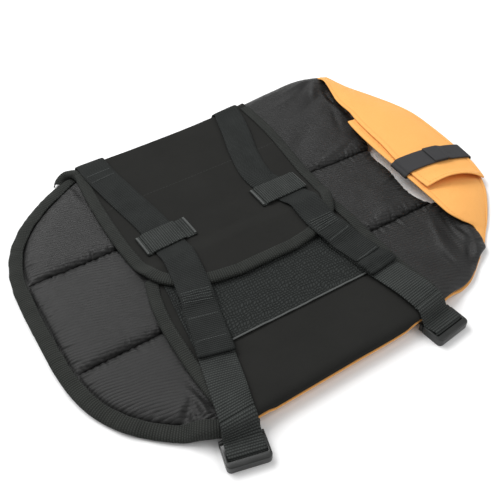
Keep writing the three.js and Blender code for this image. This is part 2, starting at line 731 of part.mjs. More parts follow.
// Lower webbing: sewn on the near flap, over the near edge and down into the buckle's slot
function buckleWebbing(side) {
  const edge = sideNear(BUCKLES[side].x);
  const heightAt = (x, y) => LOWER_UNDER + strapLift(x, y);
  const plan = evenly(20, LOWER_WEBBING_START, edge + 8).map((y) => ({ x: strapX(side, y), y }));
  const stations = laidStations(plan, heightAt);
  const high = stations[stations.length - 1].centre.z;
  const low = BUCKLE.thickness + GAP;
  const along = edgeAcross(sideNear, strapX(side, edge));
  EDGE_DROP.forEach(({ out, drop }, i) => {
    const y = edge - out;
    const centre = point(strapX(side, y), y, lerp(high, low, drop));
    const across = along.clone().lerp(buckleAcross(side), i / (EDGE_DROP.length - 1)).normalize();
    stations.push({ centre, across });
  });
  const slotInner = BUCKLE_SLOT.from + BUCKLE_SLOT.length;
  stations.push(...buckleStations(side, [
    { inward: slotInner + 2, z: low },
    { inward: slotInner + 0.6, z: low - 0.1 },
    { inward: slotInner - 0.6, z: low - 1.2 },
    { inward: slotInner - 1, z: low - 3 },
    { inward: slotInner - 1, z: 2.4 },
  ]));
  const solid = ribbon(stations, STRAP_WIDTH, () => WEBBING);
  return mesh("buckle_webbing_" + side, solid, webbingBlack);
}

// The same strap's run along the outside of the back, under the shell, to the buckle's other half
function underStrap(side) {
  const inner = buckleInner(side);
  const startX = strapX(side, sideFar(0));
  const startY = sideFar(startX) + SHELL_LEDGE + STRAP_TURN.clear - GAP;
  const start = edgeAcross(sideFar, startX);
  const end = buckleAcross(side);
  const stations = evenly(12).map((k) => {
    const y = lerp(startY, inner.y, k);
    return { centre: point(underStrapX(side, y), y, 0), across: start.clone().lerp(end, k).normalize() };
  });
  const slotOuter = buckleLength - SOCKET_BAR.length - BUCKLE_SLOT.length;
  stations.push(...buckleStations(side, [
    { inward: slotOuter + 3.6, z: 0 },
    { inward: slotOuter + 2.2, z: 0.3 },
    { inward: slotOuter + 1.2, z: 1.6 },
    { inward: slotOuter + 1.2, z: BUCKLE.thickness - 2 },
  ]));
  const solid = ribbon(stations, STRAP_WIDTH, () => WEBBING);
  return mesh("under_strap_" + side, solid, webbingBlack);
}

// Short piece of webbing sewn down at both ends with the strap running through it
function keeper(side) {
  const { from, to, y, turn } = KEEPERS[side];
  const edges = [-1, 0, 1].map((k) => strapX(side, y + (k * KEEPER_WIDTH) / 2));
  const left = Math.min(...edges) - STRAP_WIDTH / 2 - 2 * GAP;
  const right = Math.max(...edges) + STRAP_WIDTH / 2 + 2 * GAP;
  const middle = (left + right) / 2;
  const across = point(Math.sin(degToRad(turn)), -Math.cos(degToRad(turn)), 0).negate();
  const stations = evenly(24, from, to).map((x) => {
    const away = Math.max(left - x, x - right) / KEEPER_RAMP;
    const rise = (WEBBING + GAP) * (1 - smoothstep(away, 0, 1));
    const shift = Math.tan(degToRad(turn)) * (x - middle);
    return { centre: point(x, y + shift, FLAP_TOP + GAP + rise), across };
  });
  const solid = ribbon(stations, KEEPER_WIDTH, () => LOOP_TAPE);
  return mesh("keeper_loop_" + side, solid, webbingBlack);
}

// Rectangle with rounded corners, as a shape or as a hole
function roundedRectangle(x0, y0, x1, y1, radius, Kind = THREE.Shape) {
  const made = new Kind();
  made.moveTo(x0 + radius, y0);
  made.lineTo(x1 - radius, y0);
  made.absarc(x1 - radius, y0 + radius, radius, -Math.PI / 2, 0, false);
  made.lineTo(x1, y1 - radius);
  made.absarc(x1 - radius, y1 - radius, radius, 0, Math.PI / 2, false);
  made.lineTo(x0 + radius, y1);
  made.absarc(x0 + radius, y1 - radius, radius, Math.PI / 2, Math.PI, false);
  made.lineTo(x0, y0 + radius);
  made.absarc(x0 + radius, y0 + radius, radius, Math.PI, (3 * Math.PI) / 2, false);
  return made;
}

function plate(shape, lower, upper, bevel) {
  const geometry = new THREE.ExtrudeGeometry(shape, {
    depth: upper - lower - 2 * bevel,
    bevelEnabled: true,
    bevelThickness: bevel,
    bevelSize: bevel,
    bevelOffset: -bevel,
    bevelSegments: 1,
    curveSegments: 4,
  });
  return geometry.translate(0, 0, lower + bevel);
}

// Outer half of a buckle: a frame with the slot that the webbing dives into
function bucklePlug(side) {
  const half = BUCKLE.width / 2;
  const slotHalf = BUCKLE_SLOT.width / 2;
  const shape = roundedRectangle(-half, 0, half, BUCKLE.plug, BUCKLE.corner);
  const slotEnd = BUCKLE_SLOT.from + BUCKLE_SLOT.length;
  const slot = roundedRectangle(-slotHalf, BUCKLE_SLOT.from, slotHalf, slotEnd, 1, THREE.Path);
  shape.holes.push(slot);
  return mesh("buckle_plug_" + side, plate(shape, 0, BUCKLE.thickness, BUCKLE.bevel), buckleBlack);
}

// Geometry as a solid for a boolean cut
function solidOf(geometry) {
  const bare = geometry.clone();
  bare.deleteAttribute("normal");
  bare.deleteAttribute("uv");
  const merged = mergeVertices(bare, 1e-4);
  return new wasm.Manifold(
    new wasm.Mesh({
      numProp: 3,
      vertProperties: new Float32Array(merged.attributes.position.array),
      triVerts: new Uint32Array(merged.index.array),
    }),
  );
}

function geometryOf(solid) {
  const { vertProperties, triVerts } = solid.getMesh();
  const geometry = new THREE.BufferGeometry();
  geometry.setAttribute("position", new THREE.BufferAttribute(vertProperties, 3));
  geometry.setIndex(new THREE.BufferAttribute(triVerts, 1));
  return geometry;
}

// Inner half of a buckle: side windows for the prongs, and a bar that its strap turns round from below
function buckleSocket(side) {
  const half = BUCKLE.width / 2;
  const start = BUCKLE.plug + GAP;
  const windowStart = start + SOCKET_WINDOW.from;
  const windowEnd = windowStart + SOCKET_WINDOW.length;
  const floor = half - SOCKET_WINDOW.depth;
  const shape = new THREE.Shape();
  shape.moveTo(-half, start);
  shape.lineTo(half, start);
  shape.lineTo(half, windowStart);
  shape.lineTo(floor, windowStart + 1);
  shape.lineTo(floor, windowEnd - 1);
  shape.lineTo(half, windowEnd);
  shape.lineTo(half, buckleLength);
  shape.lineTo(-half, buckleLength);
  shape.lineTo(-half, windowEnd);
  shape.lineTo(-floor, windowEnd - 1);
  shape.lineTo(-floor, windowStart + 1);
  shape.lineTo(-half, windowStart);
  shape.closePath();
  const slotEnd = buckleLength - SOCKET_BAR.length;
  const slotHalf = BUCKLE_SLOT.width / 2;
  shape.holes.push(
    roundedRectangle(-slotHalf, slotEnd - BUCKLE_SLOT.length, slotHalf, slotEnd, 1, THREE.Path),
  );
  const body = solidOf(plate(shape, 0, BUCKLE.thickness, BUCKLE.bevel));
  const groove = new THREE.BoxGeometry(BUCKLE_SLOT.width, 2 * SOCKET_BAR.length, 2 * SOCKET_BAR.lower);
  groove.translate(0, buckleLength, 0);
  const cut = geometryOf(body.subtract(solidOf(groove)));
  return mesh("buckle_socket_" + side, cut, buckleBlack);
}

function buckle(side) {
  const group = new THREE.Group();
  const { x, y, heading } = BUCKLES[side];
  group.position.set(x, y, 0);
  group.rotation.z = degToRad(heading);
  group.add(bucklePlug(side), buckleSocket(side));
  return group;
}

// Point of the chest band: row counts from the far corner, depth runs from inner to outer edge
const numberedRows = BAND_ROWS.map((row, n) => ({ ...row, n }));
function bandPoint(row, depth) {
  const at = (name) => column(numberedRows, "n", name, row);
  const arch = at("bulge") * 4 * depth * (1 - depth);
  return point(
    lerp(at("xi"), at("xo"), depth),
    lerp(at("yi"), at("yo"), depth),
    lerp(at("zi"), at("zo"), depth) + arch,
  );
}

function bandNormal(row, depth) {
  const step = 0.02;
  const alongBand = bandPoint(row + step, depth).sub(bandPoint(row - step, depth));
  const acrossBand = bandPoint(row, depth + step).sub(bandPoint(row, depth - step));
  return alongBand.cross(acrossBand).normalize();
}

const bandOffset = (row, depth, amount) =>
  bandPoint(row, depth).addScaledVector(bandNormal(row, depth), amount);

// Depth of a panel's inner edge
function panelInner(panel, row) {
  const band = panel.inner * smoothstep(row, PANEL_WIDENS.from, PANEL_WIDENS.to);
  return lerp(band, panel.tabInner, smoothstep(row, TAB_NARROWS.from, TAB_NARROWS.to));
}

function bandPanel(name, panel, offset, liftAt) {
  const build = (amount) =>
    evenly(24).map((along) =>
      evenly(8).map((share) => {
        const end = lerp(panel.innerEnd, panel.outerEnd, share) - PANEL_ENDS;
        const row = lerp(panel.start + PANEL_ENDS, end, along);
        const depth = lerp(panelInner(panel, row), 1 - BAND_HEM, share);
        const p = bandOffset(row, depth, amount);
        p.z += liftAt(row, share, end);
        return p;
      }),
    );
  return mesh(name, solidBetween(build(offset), build(offset + BAND_CLOTH)), orangeNylon);
}

// The far panel ends in a loose tab, arched up between its corners
const farPanel = () =>
  bandPanel("chest_band_far", FAR_PANEL, PANEL_GAP, (row, share, end) => {
    const arch = lerp(TAB_LIFT.ends, 1, 4 * share * (1 - share));
    return TAB_LIFT.height * arch * smoothstep(row, TAB_LIFT.from, end) ** 2;
  });
const nearPanel = () => bandPanel("chest_band_near", NEAR_PANEL, -BAND_CLOTH, () => 0);

// Strap wound once round both band panels, its end lapping over its start
function neckStrap() {
  const top = PANEL_GAP + BAND_CLOTH + PANEL_GAP + GAP;
  const lapped = top + NECK_TAPE + GAP;
  const below = -BAND_CLOTH - PANEL_GAP - GAP;
  const { lapStart, lapEnd } = NECK_STRAP;
  const rowAt = (depth) => lerp(NECK_STRAP.inner, NECK_STRAP.outer, depth);
  const inner = panelInner(FAR_PANEL, NECK_STRAP.inner);
  const route = [
    ...evenly(5, lapStart, inner + 0.02).map((depth) => ({ depth, out: top })),
    { depth: inner * 0.6, out: top - 0.5 },
    { depth: 0.015, out: 1.1 },
    { depth: -0.012, out: 0.1 },
    { depth: -0.018, out: -1.0 },
    { depth: -0.008, out: below + 0.2 },
    ...evenly(7, 0.03, 0.985).map((depth) => ({ depth, out: below })),
    { depth: 1.004, out: below + 0.4 },
    { depth: 1.014, out: -0.8 },
    { depth: 1.016, out: 0.6 },
    { depth: 1.01, out: top - 0.7 },
    { depth: 0.985, out: top },
    ...evenly(3, 0.92, lapStart + 0.08).map((depth) => ({ depth, out: top })),
    ...evenly(4, lapStart, lapEnd).map((depth) => ({ depth, out: lapped })),
  ];
  const { reach } = NECK_STRAP;
  const grid = route.map(({ depth, out }) =>
    evenly(2, -reach, reach).map((k) => bandOffset(rowAt(depth) + k, depth, out)),
  );
  return mesh("neck_strap", wall(grid, NECK_TAPE), neckTapeBlack);
}

function lifeJacket() {
  const jacket = new THREE.Group();
  jacket.add(shell(), ...pads(), tailBinding());
  jacket.add(nearFlap(), nearFlapBinding(), hookPatch(), farFlap(), farFlapBinding());
  for (const side of Object.keys(BUCKLES)) {
    jacket.add(strap(side), keeper(side), buckleWebbing(side), underStrap(side), buckle(side));
  }
  jacket.add(nearPanel(), farPanel(), neckStrap());
  const box = new THREE.Box3().setFromObject(jacket);
  const centre = box.getCenter(new THREE.Vector3());
  jacket.position.set(-centre.x, -centre.y, -box.min.z);
  return jacket;
}

const jacket = lifeJacket();
export default jacket;
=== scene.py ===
"""Dog life jacket lying flat with its lining up: its soft pieces, finishes, lights and camera."""

import json
import logging
import math
from collections.abc import Callable, Sequence
from dataclasses import dataclass, field
from enum import Enum

import bpy
import numpy as np
from mathutils import Vector
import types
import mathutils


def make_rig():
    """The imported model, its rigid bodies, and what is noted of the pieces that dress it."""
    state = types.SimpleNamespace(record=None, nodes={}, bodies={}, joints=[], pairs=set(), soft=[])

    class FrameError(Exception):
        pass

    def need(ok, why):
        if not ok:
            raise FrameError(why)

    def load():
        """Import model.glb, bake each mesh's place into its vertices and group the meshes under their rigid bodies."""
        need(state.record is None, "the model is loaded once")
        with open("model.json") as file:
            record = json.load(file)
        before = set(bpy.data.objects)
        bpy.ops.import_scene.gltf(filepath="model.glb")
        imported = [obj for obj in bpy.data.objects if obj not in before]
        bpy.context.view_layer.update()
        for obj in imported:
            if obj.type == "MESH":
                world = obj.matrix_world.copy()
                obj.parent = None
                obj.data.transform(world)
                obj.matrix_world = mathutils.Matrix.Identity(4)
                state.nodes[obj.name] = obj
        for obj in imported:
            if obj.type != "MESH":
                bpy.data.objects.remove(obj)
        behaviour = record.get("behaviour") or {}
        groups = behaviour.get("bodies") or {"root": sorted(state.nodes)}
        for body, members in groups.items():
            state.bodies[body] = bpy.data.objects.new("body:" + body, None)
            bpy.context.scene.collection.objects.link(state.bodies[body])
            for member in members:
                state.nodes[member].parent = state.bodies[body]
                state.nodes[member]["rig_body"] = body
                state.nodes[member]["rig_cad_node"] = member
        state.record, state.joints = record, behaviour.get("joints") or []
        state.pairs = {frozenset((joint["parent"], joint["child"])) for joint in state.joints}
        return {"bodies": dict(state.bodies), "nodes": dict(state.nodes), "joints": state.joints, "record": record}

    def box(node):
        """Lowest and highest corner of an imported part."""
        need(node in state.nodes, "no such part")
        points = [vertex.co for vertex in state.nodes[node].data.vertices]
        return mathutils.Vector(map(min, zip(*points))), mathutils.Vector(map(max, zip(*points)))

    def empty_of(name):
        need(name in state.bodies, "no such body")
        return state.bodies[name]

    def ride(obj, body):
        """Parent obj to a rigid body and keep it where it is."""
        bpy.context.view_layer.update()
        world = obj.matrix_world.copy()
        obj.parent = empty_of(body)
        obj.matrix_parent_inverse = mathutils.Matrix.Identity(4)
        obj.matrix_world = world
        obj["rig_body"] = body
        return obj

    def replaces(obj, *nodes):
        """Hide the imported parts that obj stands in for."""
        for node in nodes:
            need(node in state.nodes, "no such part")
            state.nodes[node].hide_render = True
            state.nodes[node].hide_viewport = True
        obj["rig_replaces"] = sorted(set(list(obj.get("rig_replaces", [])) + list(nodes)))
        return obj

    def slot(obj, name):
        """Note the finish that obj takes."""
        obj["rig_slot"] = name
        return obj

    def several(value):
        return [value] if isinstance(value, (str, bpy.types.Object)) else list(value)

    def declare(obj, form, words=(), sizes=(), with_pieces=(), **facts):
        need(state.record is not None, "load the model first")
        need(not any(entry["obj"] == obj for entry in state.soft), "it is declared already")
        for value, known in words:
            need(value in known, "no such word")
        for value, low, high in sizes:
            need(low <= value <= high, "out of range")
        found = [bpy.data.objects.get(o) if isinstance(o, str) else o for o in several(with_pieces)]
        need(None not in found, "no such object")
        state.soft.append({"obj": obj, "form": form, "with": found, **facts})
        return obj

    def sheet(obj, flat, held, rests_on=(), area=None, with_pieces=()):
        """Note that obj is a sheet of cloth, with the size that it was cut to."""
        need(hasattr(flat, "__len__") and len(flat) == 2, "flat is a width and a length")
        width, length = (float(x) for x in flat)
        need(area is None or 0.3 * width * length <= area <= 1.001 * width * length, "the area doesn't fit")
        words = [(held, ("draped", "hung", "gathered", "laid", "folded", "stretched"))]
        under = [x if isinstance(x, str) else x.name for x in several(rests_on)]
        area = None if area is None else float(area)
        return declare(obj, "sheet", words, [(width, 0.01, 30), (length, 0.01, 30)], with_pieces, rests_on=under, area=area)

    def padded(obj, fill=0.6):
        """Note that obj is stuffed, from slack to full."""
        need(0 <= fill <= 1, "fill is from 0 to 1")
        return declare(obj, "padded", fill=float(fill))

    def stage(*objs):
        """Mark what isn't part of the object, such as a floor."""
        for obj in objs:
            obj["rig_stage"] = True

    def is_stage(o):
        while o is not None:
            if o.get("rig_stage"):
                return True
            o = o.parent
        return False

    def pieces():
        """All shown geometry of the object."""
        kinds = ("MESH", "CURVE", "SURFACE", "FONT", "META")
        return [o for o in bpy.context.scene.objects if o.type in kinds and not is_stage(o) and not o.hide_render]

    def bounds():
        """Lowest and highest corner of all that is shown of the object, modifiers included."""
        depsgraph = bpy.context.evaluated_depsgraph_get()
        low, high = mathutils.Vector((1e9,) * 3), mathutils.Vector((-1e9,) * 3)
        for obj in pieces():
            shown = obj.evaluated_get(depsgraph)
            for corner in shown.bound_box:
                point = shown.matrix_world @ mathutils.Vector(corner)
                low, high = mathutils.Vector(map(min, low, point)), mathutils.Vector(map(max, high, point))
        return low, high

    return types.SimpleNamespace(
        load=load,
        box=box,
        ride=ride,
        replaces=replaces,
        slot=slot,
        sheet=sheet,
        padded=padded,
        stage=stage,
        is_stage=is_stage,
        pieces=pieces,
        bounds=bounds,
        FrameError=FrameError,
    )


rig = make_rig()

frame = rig.load()
CAD_BOX = [list(corner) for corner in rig.bounds()]

LOG = logging.getLogger("life_jacket")
Array = np.ndarray
Socket = bpy.types.NodeSocket
Table = Sequence[tuple[float, float]]

# Cloth thicknesses and clearances of the pattern, in millimetres
GAP = 0.3
SHELL_CLOTH = 1.2
TAPE = 1.0
NEOPRENE = 2.2
WEBBING = 1.5
BAND_CLOTH = 1.8
PAD_CROWN = 10.0
PAD_SEAT = SHELL_CLOTH + GAP
FLAP_TAPE = TAPE + 0.45
FLAP_UNDER = PAD_CROWN + FLAP_TAPE + 2 * GAP
FLAP_TOP = FLAP_UNDER + NEOPRENE
OVERLAP_UNDER = FLAP_TOP + 2 * FLAP_TAPE + GAP
OVERLAP_TOP = OVERLAP_UNDER + NEOPRENE
STRAP_WIDTH = 30.0


class Side(Enum):
    """The two straps, named by where they lie in the photographed view."""

    LEFT = "left"
    RIGHT = "right"


class Hold(Enum):
    """How a sheet of cloth is held."""

    LAID = "laid"
    FOLDED = "folded"


def smooth(t: Array | float) -> Array:
    """Eased 0 to 1 of a share that may lie outside that range."""
    t = np.clip(t, 0.0, 1.0)
    return t * t * (3 - 2 * t)


def mix(a: Array | float, b: Array | float, t: Array | float) -> Array:
    """Value between a and b at share t."""
    return a + (b - a) * t


def curve(table: Table, at: Array | float) -> Array:
    """Smooth curve through a table of key and value.

    Args:
        table: pairs of key and value, in either order of keys.
        at: keys to read the curve at.

    Returns:
        The values, constant beyond the ends of the table.
    """
    rows = np.array(sorted(table), dtype=float)
    keys, values = rows[:, 0], rows[:, 1]
    before = np.maximum(np.arange(len(keys)) - 1, 0)
    after = np.minimum(np.arange(len(keys)) + 1, len(keys) - 1)
    slopes = (values[after] - values[before]) / (keys[after] - keys[before])
    at = np.clip(np.asarray(at, dtype=float), keys[0], keys[-1])
    i = np.clip(np.searchsorted(keys, at, side="right") - 1, 0, len(keys) - 2)
    span = keys[i + 1] - keys[i]
    k = (at - keys[i]) / span
    rise = values[i + 1] - values[i]
    first, second = slopes[i] * span, slopes[i + 1] * span
    return values[i] + k * (first + k * (3 * rise - 2 * first - second + k * (first + second - 2 * rise)))


def hills(x: Array | float, y: Array | float, cell: float, seed: int) -> Array:
    """Soft uneven relief from -1 to 1 over a plane.

    Args:
        x: first coordinate, in millimetres.
        y: second coordinate, in millimetres.
        cell: usual distance between hills, in millimetres.
        seed: which relief.

    Returns:
        The relief at each point.
    """
    table = np.random.default_rng(seed).uniform(-1, 1, (64, 64))
    x, y = np.broadcast_arrays(np.asarray(x, dtype=float) / cell, np.asarray(y, dtype=float) / cell)
    i, j = np.floor(x).astype(int), np.floor(y).astype(int)
    u, v = smooth(x - i), smooth(y - j)
    a = mix(table[i % 64, j % 64], table[(i + 1) % 64, j % 64], u)
    b = mix(table[i % 64, (j + 1) % 64], table[(i + 1) % 64, (j + 1) % 64], u)
    return mix(a, b, v)


def gathers(along: Array, away: Array, seed: int, spacing: float, reach: float, depth: float) -> Array:
    """Short troughs square to a seam, each with its own place, depth, width, length and slant.

    Args:
        along: distance along the seam, in millimetres.
        away: distance from the seam.
        seed: which set of troughs.
        spacing: usual distance between two.
        reach: usual length of one.
        depth: greatest depth.

    Returns:
        The relief at each point, below zero in a trough.
    """
    dice = np.random.default_rng(seed)
    relief = np.zeros(np.broadcast(along, away).shape)
    at, end = float(np.min(along)), float(np.max(along))
    while at < end:
        at += spacing * dice.uniform(0.5, 1.6)
        width, length = dice.uniform(0.9, 1.8), reach * dice.uniform(0.45, 1.5)
        slant, deep = dice.uniform(-0.4, 0.4), depth * dice.uniform(0.25, 1.0)
        fade = np.exp(-((away / length) ** 2))
        off = along - at - slant * away
        ridge = 0.45 * np.exp(-(((off - 2.1) / (1.5 * width)) ** 2))
        relief += deep * fade * (ridge - np.exp(-((off / width) ** 2)))
    return relief


@dataclass(frozen=True)
class Fold:
    """A soft trough or ridge: its middle, heading in degrees, length, width and height in millimetres."""

    x: float
    y: float
    heading: float
    length: float
    width: float
    height: float

    def relief(self, x: Array, y: Array) -> Array:
        """Height of the fold at points of the plan.

        Args:
            x: plan x.
            y: plan y.

        Returns:
            The height added at each point.
        """
        turn = math.radians(self.heading)
        along = math.cos(turn) * (x - self.x) + math.sin(turn) * (y - self.y)
        across = -math.sin(turn) * (x - self.x) + math.cos(turn) * (y - self.y)
        return self.height * np.exp(-((2 * along / self.length) ** 2) - (across / self.width) ** 2)


@dataclass(frozen=True)
class BuckleSeat:
    """Where a buckle lies: middle of its outer end and heading of its inward axis in degrees."""

    x: float
    y: float
    heading: float

    def axis(self, inward: float) -> tuple[float, float]:
        """Point of the buckle's axis at a distance from its outer end."""
        turn = math.radians(self.heading)
        return self.x - math.sin(turn) * inward, self.y + math.cos(turn) * inward

    def across(self) -> Array:
        """Direction across the buckle."""
        turn = math.radians(self.heading)
        return np.array([math.cos(turn), math.sin(turn), 0.0])


@dataclass
class Pattern:
    """Plan curves and heights of the jacket's cut, in millimetres of the maker's pattern."""

    tail_reach: float = 208.6
    tail_depth: float = 95.0
    tail_half: float = 172.5
    tail_power: float = 3.7
    near_side: Table = (
        (-230, -172), (-130, -169), (0, -165.5), (60, -164), (100, -158),
        (125, -153.5), (150, -147.5), (190, -124), (230, -112),
    )
    far_side: Table = (
        (-230, 176), (-130, 177), (0, 178.5), (60, 181), (100, 185),
        (125, 190), (150, 193), (190, 195.5), (230, 186),
    )
    neck: Table = (
        (-140, 165), (-131, 180), (-117, 190), (-100, 194.5), (-80, 195), (-58, 191), (-45, 177), (-27, 173),
        (8, 178), (36, 178), (54, 187), (100, 203), (150, 213), (195, 221),
    )
    strap_lines: dict[Side, Table] = field(default_factory=lambda: {
        Side.LEFT: (
            (190, -84), (146, -82), (59, -69), (17, -68), (-32, -75), (-105, -93), (-176, -112), (-200, -117),
        ),
        Side.RIGHT: (
            (190, 86), (146, 75), (97, 60), (60, 55), (20, 69), (-32, 68), (-89, 79), (-140, 86), (-195, 92),
        ),
    })
    buckles: dict[Side, BuckleSeat] = field(default_factory=lambda: {
        Side.LEFT: BuckleSeat(-117.5, -197, -14),
        Side.RIGHT: BuckleSeat(93.5, -187, 7),
    })
    buckle_width: float = 36.0
    buckle_length: float = 46.0
    buckle_thickness: float = 8.0
    plug_length: float = 21.0
    buckle_margin: float = 5.8
    buckle_ramp: float = 24.0
    strap_margin: float = 8.0
    strap_ramp: float = 20.0
    press_reach: float = 45.0
    press_lift: float = 3.9

    def tail_x(self, y: Array | float) -> Array:
        """Tail edge at a distance from the middle."""
        return -self.tail_reach + self.tail_depth * (np.abs(y) / self.tail_half) ** self.tail_power

    def tail_slope(self, y: Array | float) -> Array:
        """Slope of the tail edge, along X for each step outwards."""
        y = np.abs(y)
        return (self.tail_x(y + 1) - self.tail_x(np.maximum(y - 1, 0))) / 2

    def tail_distance(self, x: Array, y: Array) -> Array:
        """Distance in plan from the tail edge."""
        return (x - self.tail_x(y)) / np.hypot(1, self.tail_slope(y))

    def near(self, x: Array | float) -> Array:
        """Near side edge."""
        return curve(self.near_side, x)

    def far(self, x: Array | float) -> Array:
        """Far side edge."""
        return curve(self.far_side, x)

    def neck_x(self, y: Array | float) -> Array:
        """Neck edge."""
        return curve(self.neck, y)

    def seam_near(self, x: Array | float) -> Array:
        """Quilt seam on the near side."""
        return mix(-56.0, -52.0, (np.asarray(x) + 200) / 370)

    def seam_far(self, x: Array | float) -> Array:
        """Quilt seam on the far side."""
        return mix(56.0, 48.0, (np.asarray(x) + 200) / 370)

    def strap_x(self, side: Side, y: Array | float) -> Array:
        """Centre line of a strap."""
        return curve(self.strap_lines[side], y)

    def under_strap_x(self, side: Side, y: Array | float) -> Array:
        """Centre line of a strap's straight run under the shell.

        Args:
            side: which strap.
            y: plan y.

        Returns:
            The line's x.
        """
        x0 = self.strap_x(side, 180)
        x1, y1 = self.buckles[side].axis(self.buckle_length)
        return mix(x0, x1, (180 - np.asarray(y)) / (180 - y1))

    def buckle_distance(self, x: Array, y: Array) -> Array:
        """Distance in plan from the nearest buckle.

        Args:
            x: plan x.
            y: plan y.

        Returns:
            The distance, 0 over a buckle.
        """
        distances = []
        for seat in self.buckles.values():
            turn = math.radians(seat.heading)
            across = np.abs(math.cos(turn) * (x - seat.x) + math.sin(turn) * (y - seat.y))
            inward = -math.sin(turn) * (x - seat.x) + math.cos(turn) * (y - seat.y)
            beside = np.maximum(across - self.buckle_width / 2, 0)
            distances.append(np.hypot(beside, np.maximum(inward - self.buckle_length, 0)))
        return np.minimum(*distances)

    def span_lift(self, x: Array, y: Array) -> Array:
        """Share of the buckles' lift that the near edge keeps between them.

        Args:
            x: plan x.
            y: plan y.

        Returns:
            The share at each point.
        """
        ends = [seat.x for seat in self.buckles.values()]
        beyond = np.maximum(np.maximum(min(ends) - x, x - max(ends)), 0)
        away = np.hypot(beyond, np.maximum(y + 158, 0)) / 34
        return 0.75 * (1 - smooth(away))

    def buckle_lift(self, x: Array, y: Array) -> Array:
        """Height by which the buckles lift the shell."""
        away = (self.buckle_distance(x, y) - self.buckle_margin) / self.buckle_ramp
        return (self.buckle_thickness + 2 * GAP) * np.maximum(1 - smooth(away), self.span_lift(x, y))

    def pressed_lift(self, x: Array, y: Array) -> Array:
        """Part of the buckles' lift that the soft pad passes on to what lies over it."""
        away = self.buckle_distance(x, y) / self.press_reach
        return self.press_lift * np.maximum(1 - smooth(away), self.span_lift(x, y))

    def shell_under(self, x: Array, y: Array) -> Array:
        """Height of the shell's underside.

        Args:
            x: plan x.
            y: plan y.

        Returns:
            The height at each point.
        """
        lift = self.buckle_lift(x, y)
        for side in Side:
            away = np.abs(x - self.under_strap_x(side, y)) - STRAP_WIDTH / 2 - self.strap_margin
            lift = np.maximum(lift, (WEBBING + 2 * GAP) * (1 - smooth(away / self.strap_ramp)))
        from_tail = (self.tail_distance(x, y) - 14) / 14
        return np.maximum(lift, (TAPE + GAP) * (1 - smooth(from_tail)))

    def settle(self, x: Array, y: Array) -> Array:
        """Uneven lie of the flaps and of all that lies on them, over the quilted channels.

        Args:
            x: plan x.
            y: plan y.

        Returns:
            The relief at each point.
        """
        x, y = np.asarray(x, dtype=float), np.asarray(y, dtype=float)
        seams = np.exp(-(((y - self.seam_far(x)) / 11) ** 2)) + np.exp(-(((y - self.seam_near(x)) / 11) ** 2))
        fade = smooth((170 - np.abs(y)) / 40)
        return fade * (0.35 * hills(x, y, 46, 5) + 0.15 * hills(x, y, 19, 6) - 0.55 * seams)


PATTERN = Pattern()


def row_shift() -> Array:
    """Move from the pattern's origin to the row frame's, in metres, read from a buckle's box.

    Returns:
        The move along X, Y and Z.
    """
    low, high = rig.box("buckle_plug_left")
    x, y = PATTERN.buckles[Side.LEFT].axis(PATTERN.plug_length / 2)
    return np.array([(low[0] + high[0]) / 2 - x / 1000, (low[1] + high[1]) / 2 - y / 1000, low[2]])


SHIFT = row_shift()


def in_row(points: Array) -> Array:
    """Points of the pattern in the row frame, in metres."""
    return np.asarray(points, dtype=float) / 1000 + SHIFT


def normals(grid: Array) -> Array:
    """Unit normals of a grid of points, on the side of rows crossed with columns.

    Args:
        grid: points of a face.

    Returns:
        One normal for each point.
    """
    down = np.gradient(grid, axis=0)
    over = np.gradient(grid, axis=1)
    cross = np.cross(down, over)
    return cross / np.maximum(np.linalg.norm(cross, axis=2, keepdims=True), 1e-9)


def resample(points: Array, step: float) -> Array:
    """Even points along a smooth line through stations.

    Args:
        points: stations by values, of which the first three are the place in millimetres.
        step: distance between the new points, in millimetres.

    Returns:
        The new stations, with every value carried along.
    """
    before = np.vstack([2 * points[0] - points[1], points[:-1]])
    after = np.vstack([points[1:], 2 * points[-1] - points[-2]])
    slopes = (after - before) / 2
    fine = []
    for i in range(len(points) - 1):
        for t in np.linspace(0, 1, 12, endpoint=False):
            a, b = points[i], points[i + 1]
            fine.append(
                a * (2 * t**3 - 3 * t**2 + 1) + slopes[i] * (t**3 - 2 * t**2 + t)
                + b * (3 * t**2 - 2 * t**3) + slopes[i + 1] * (t**3 - t**2)
            )
    fine = np.array(fine + [points[-1]])
    gone = np.concatenate([[0], np.cumsum(np.linalg.norm(np.diff(fine[:, :3], axis=0), axis=1))])
    wanted = np.linspace(0, gone[-1], max(int(gone[-1] / step), 2) + 1)
    return np.stack([np.interp(wanted, gone, fine[:, k]) for k in range(fine.shape[1])], axis=1)


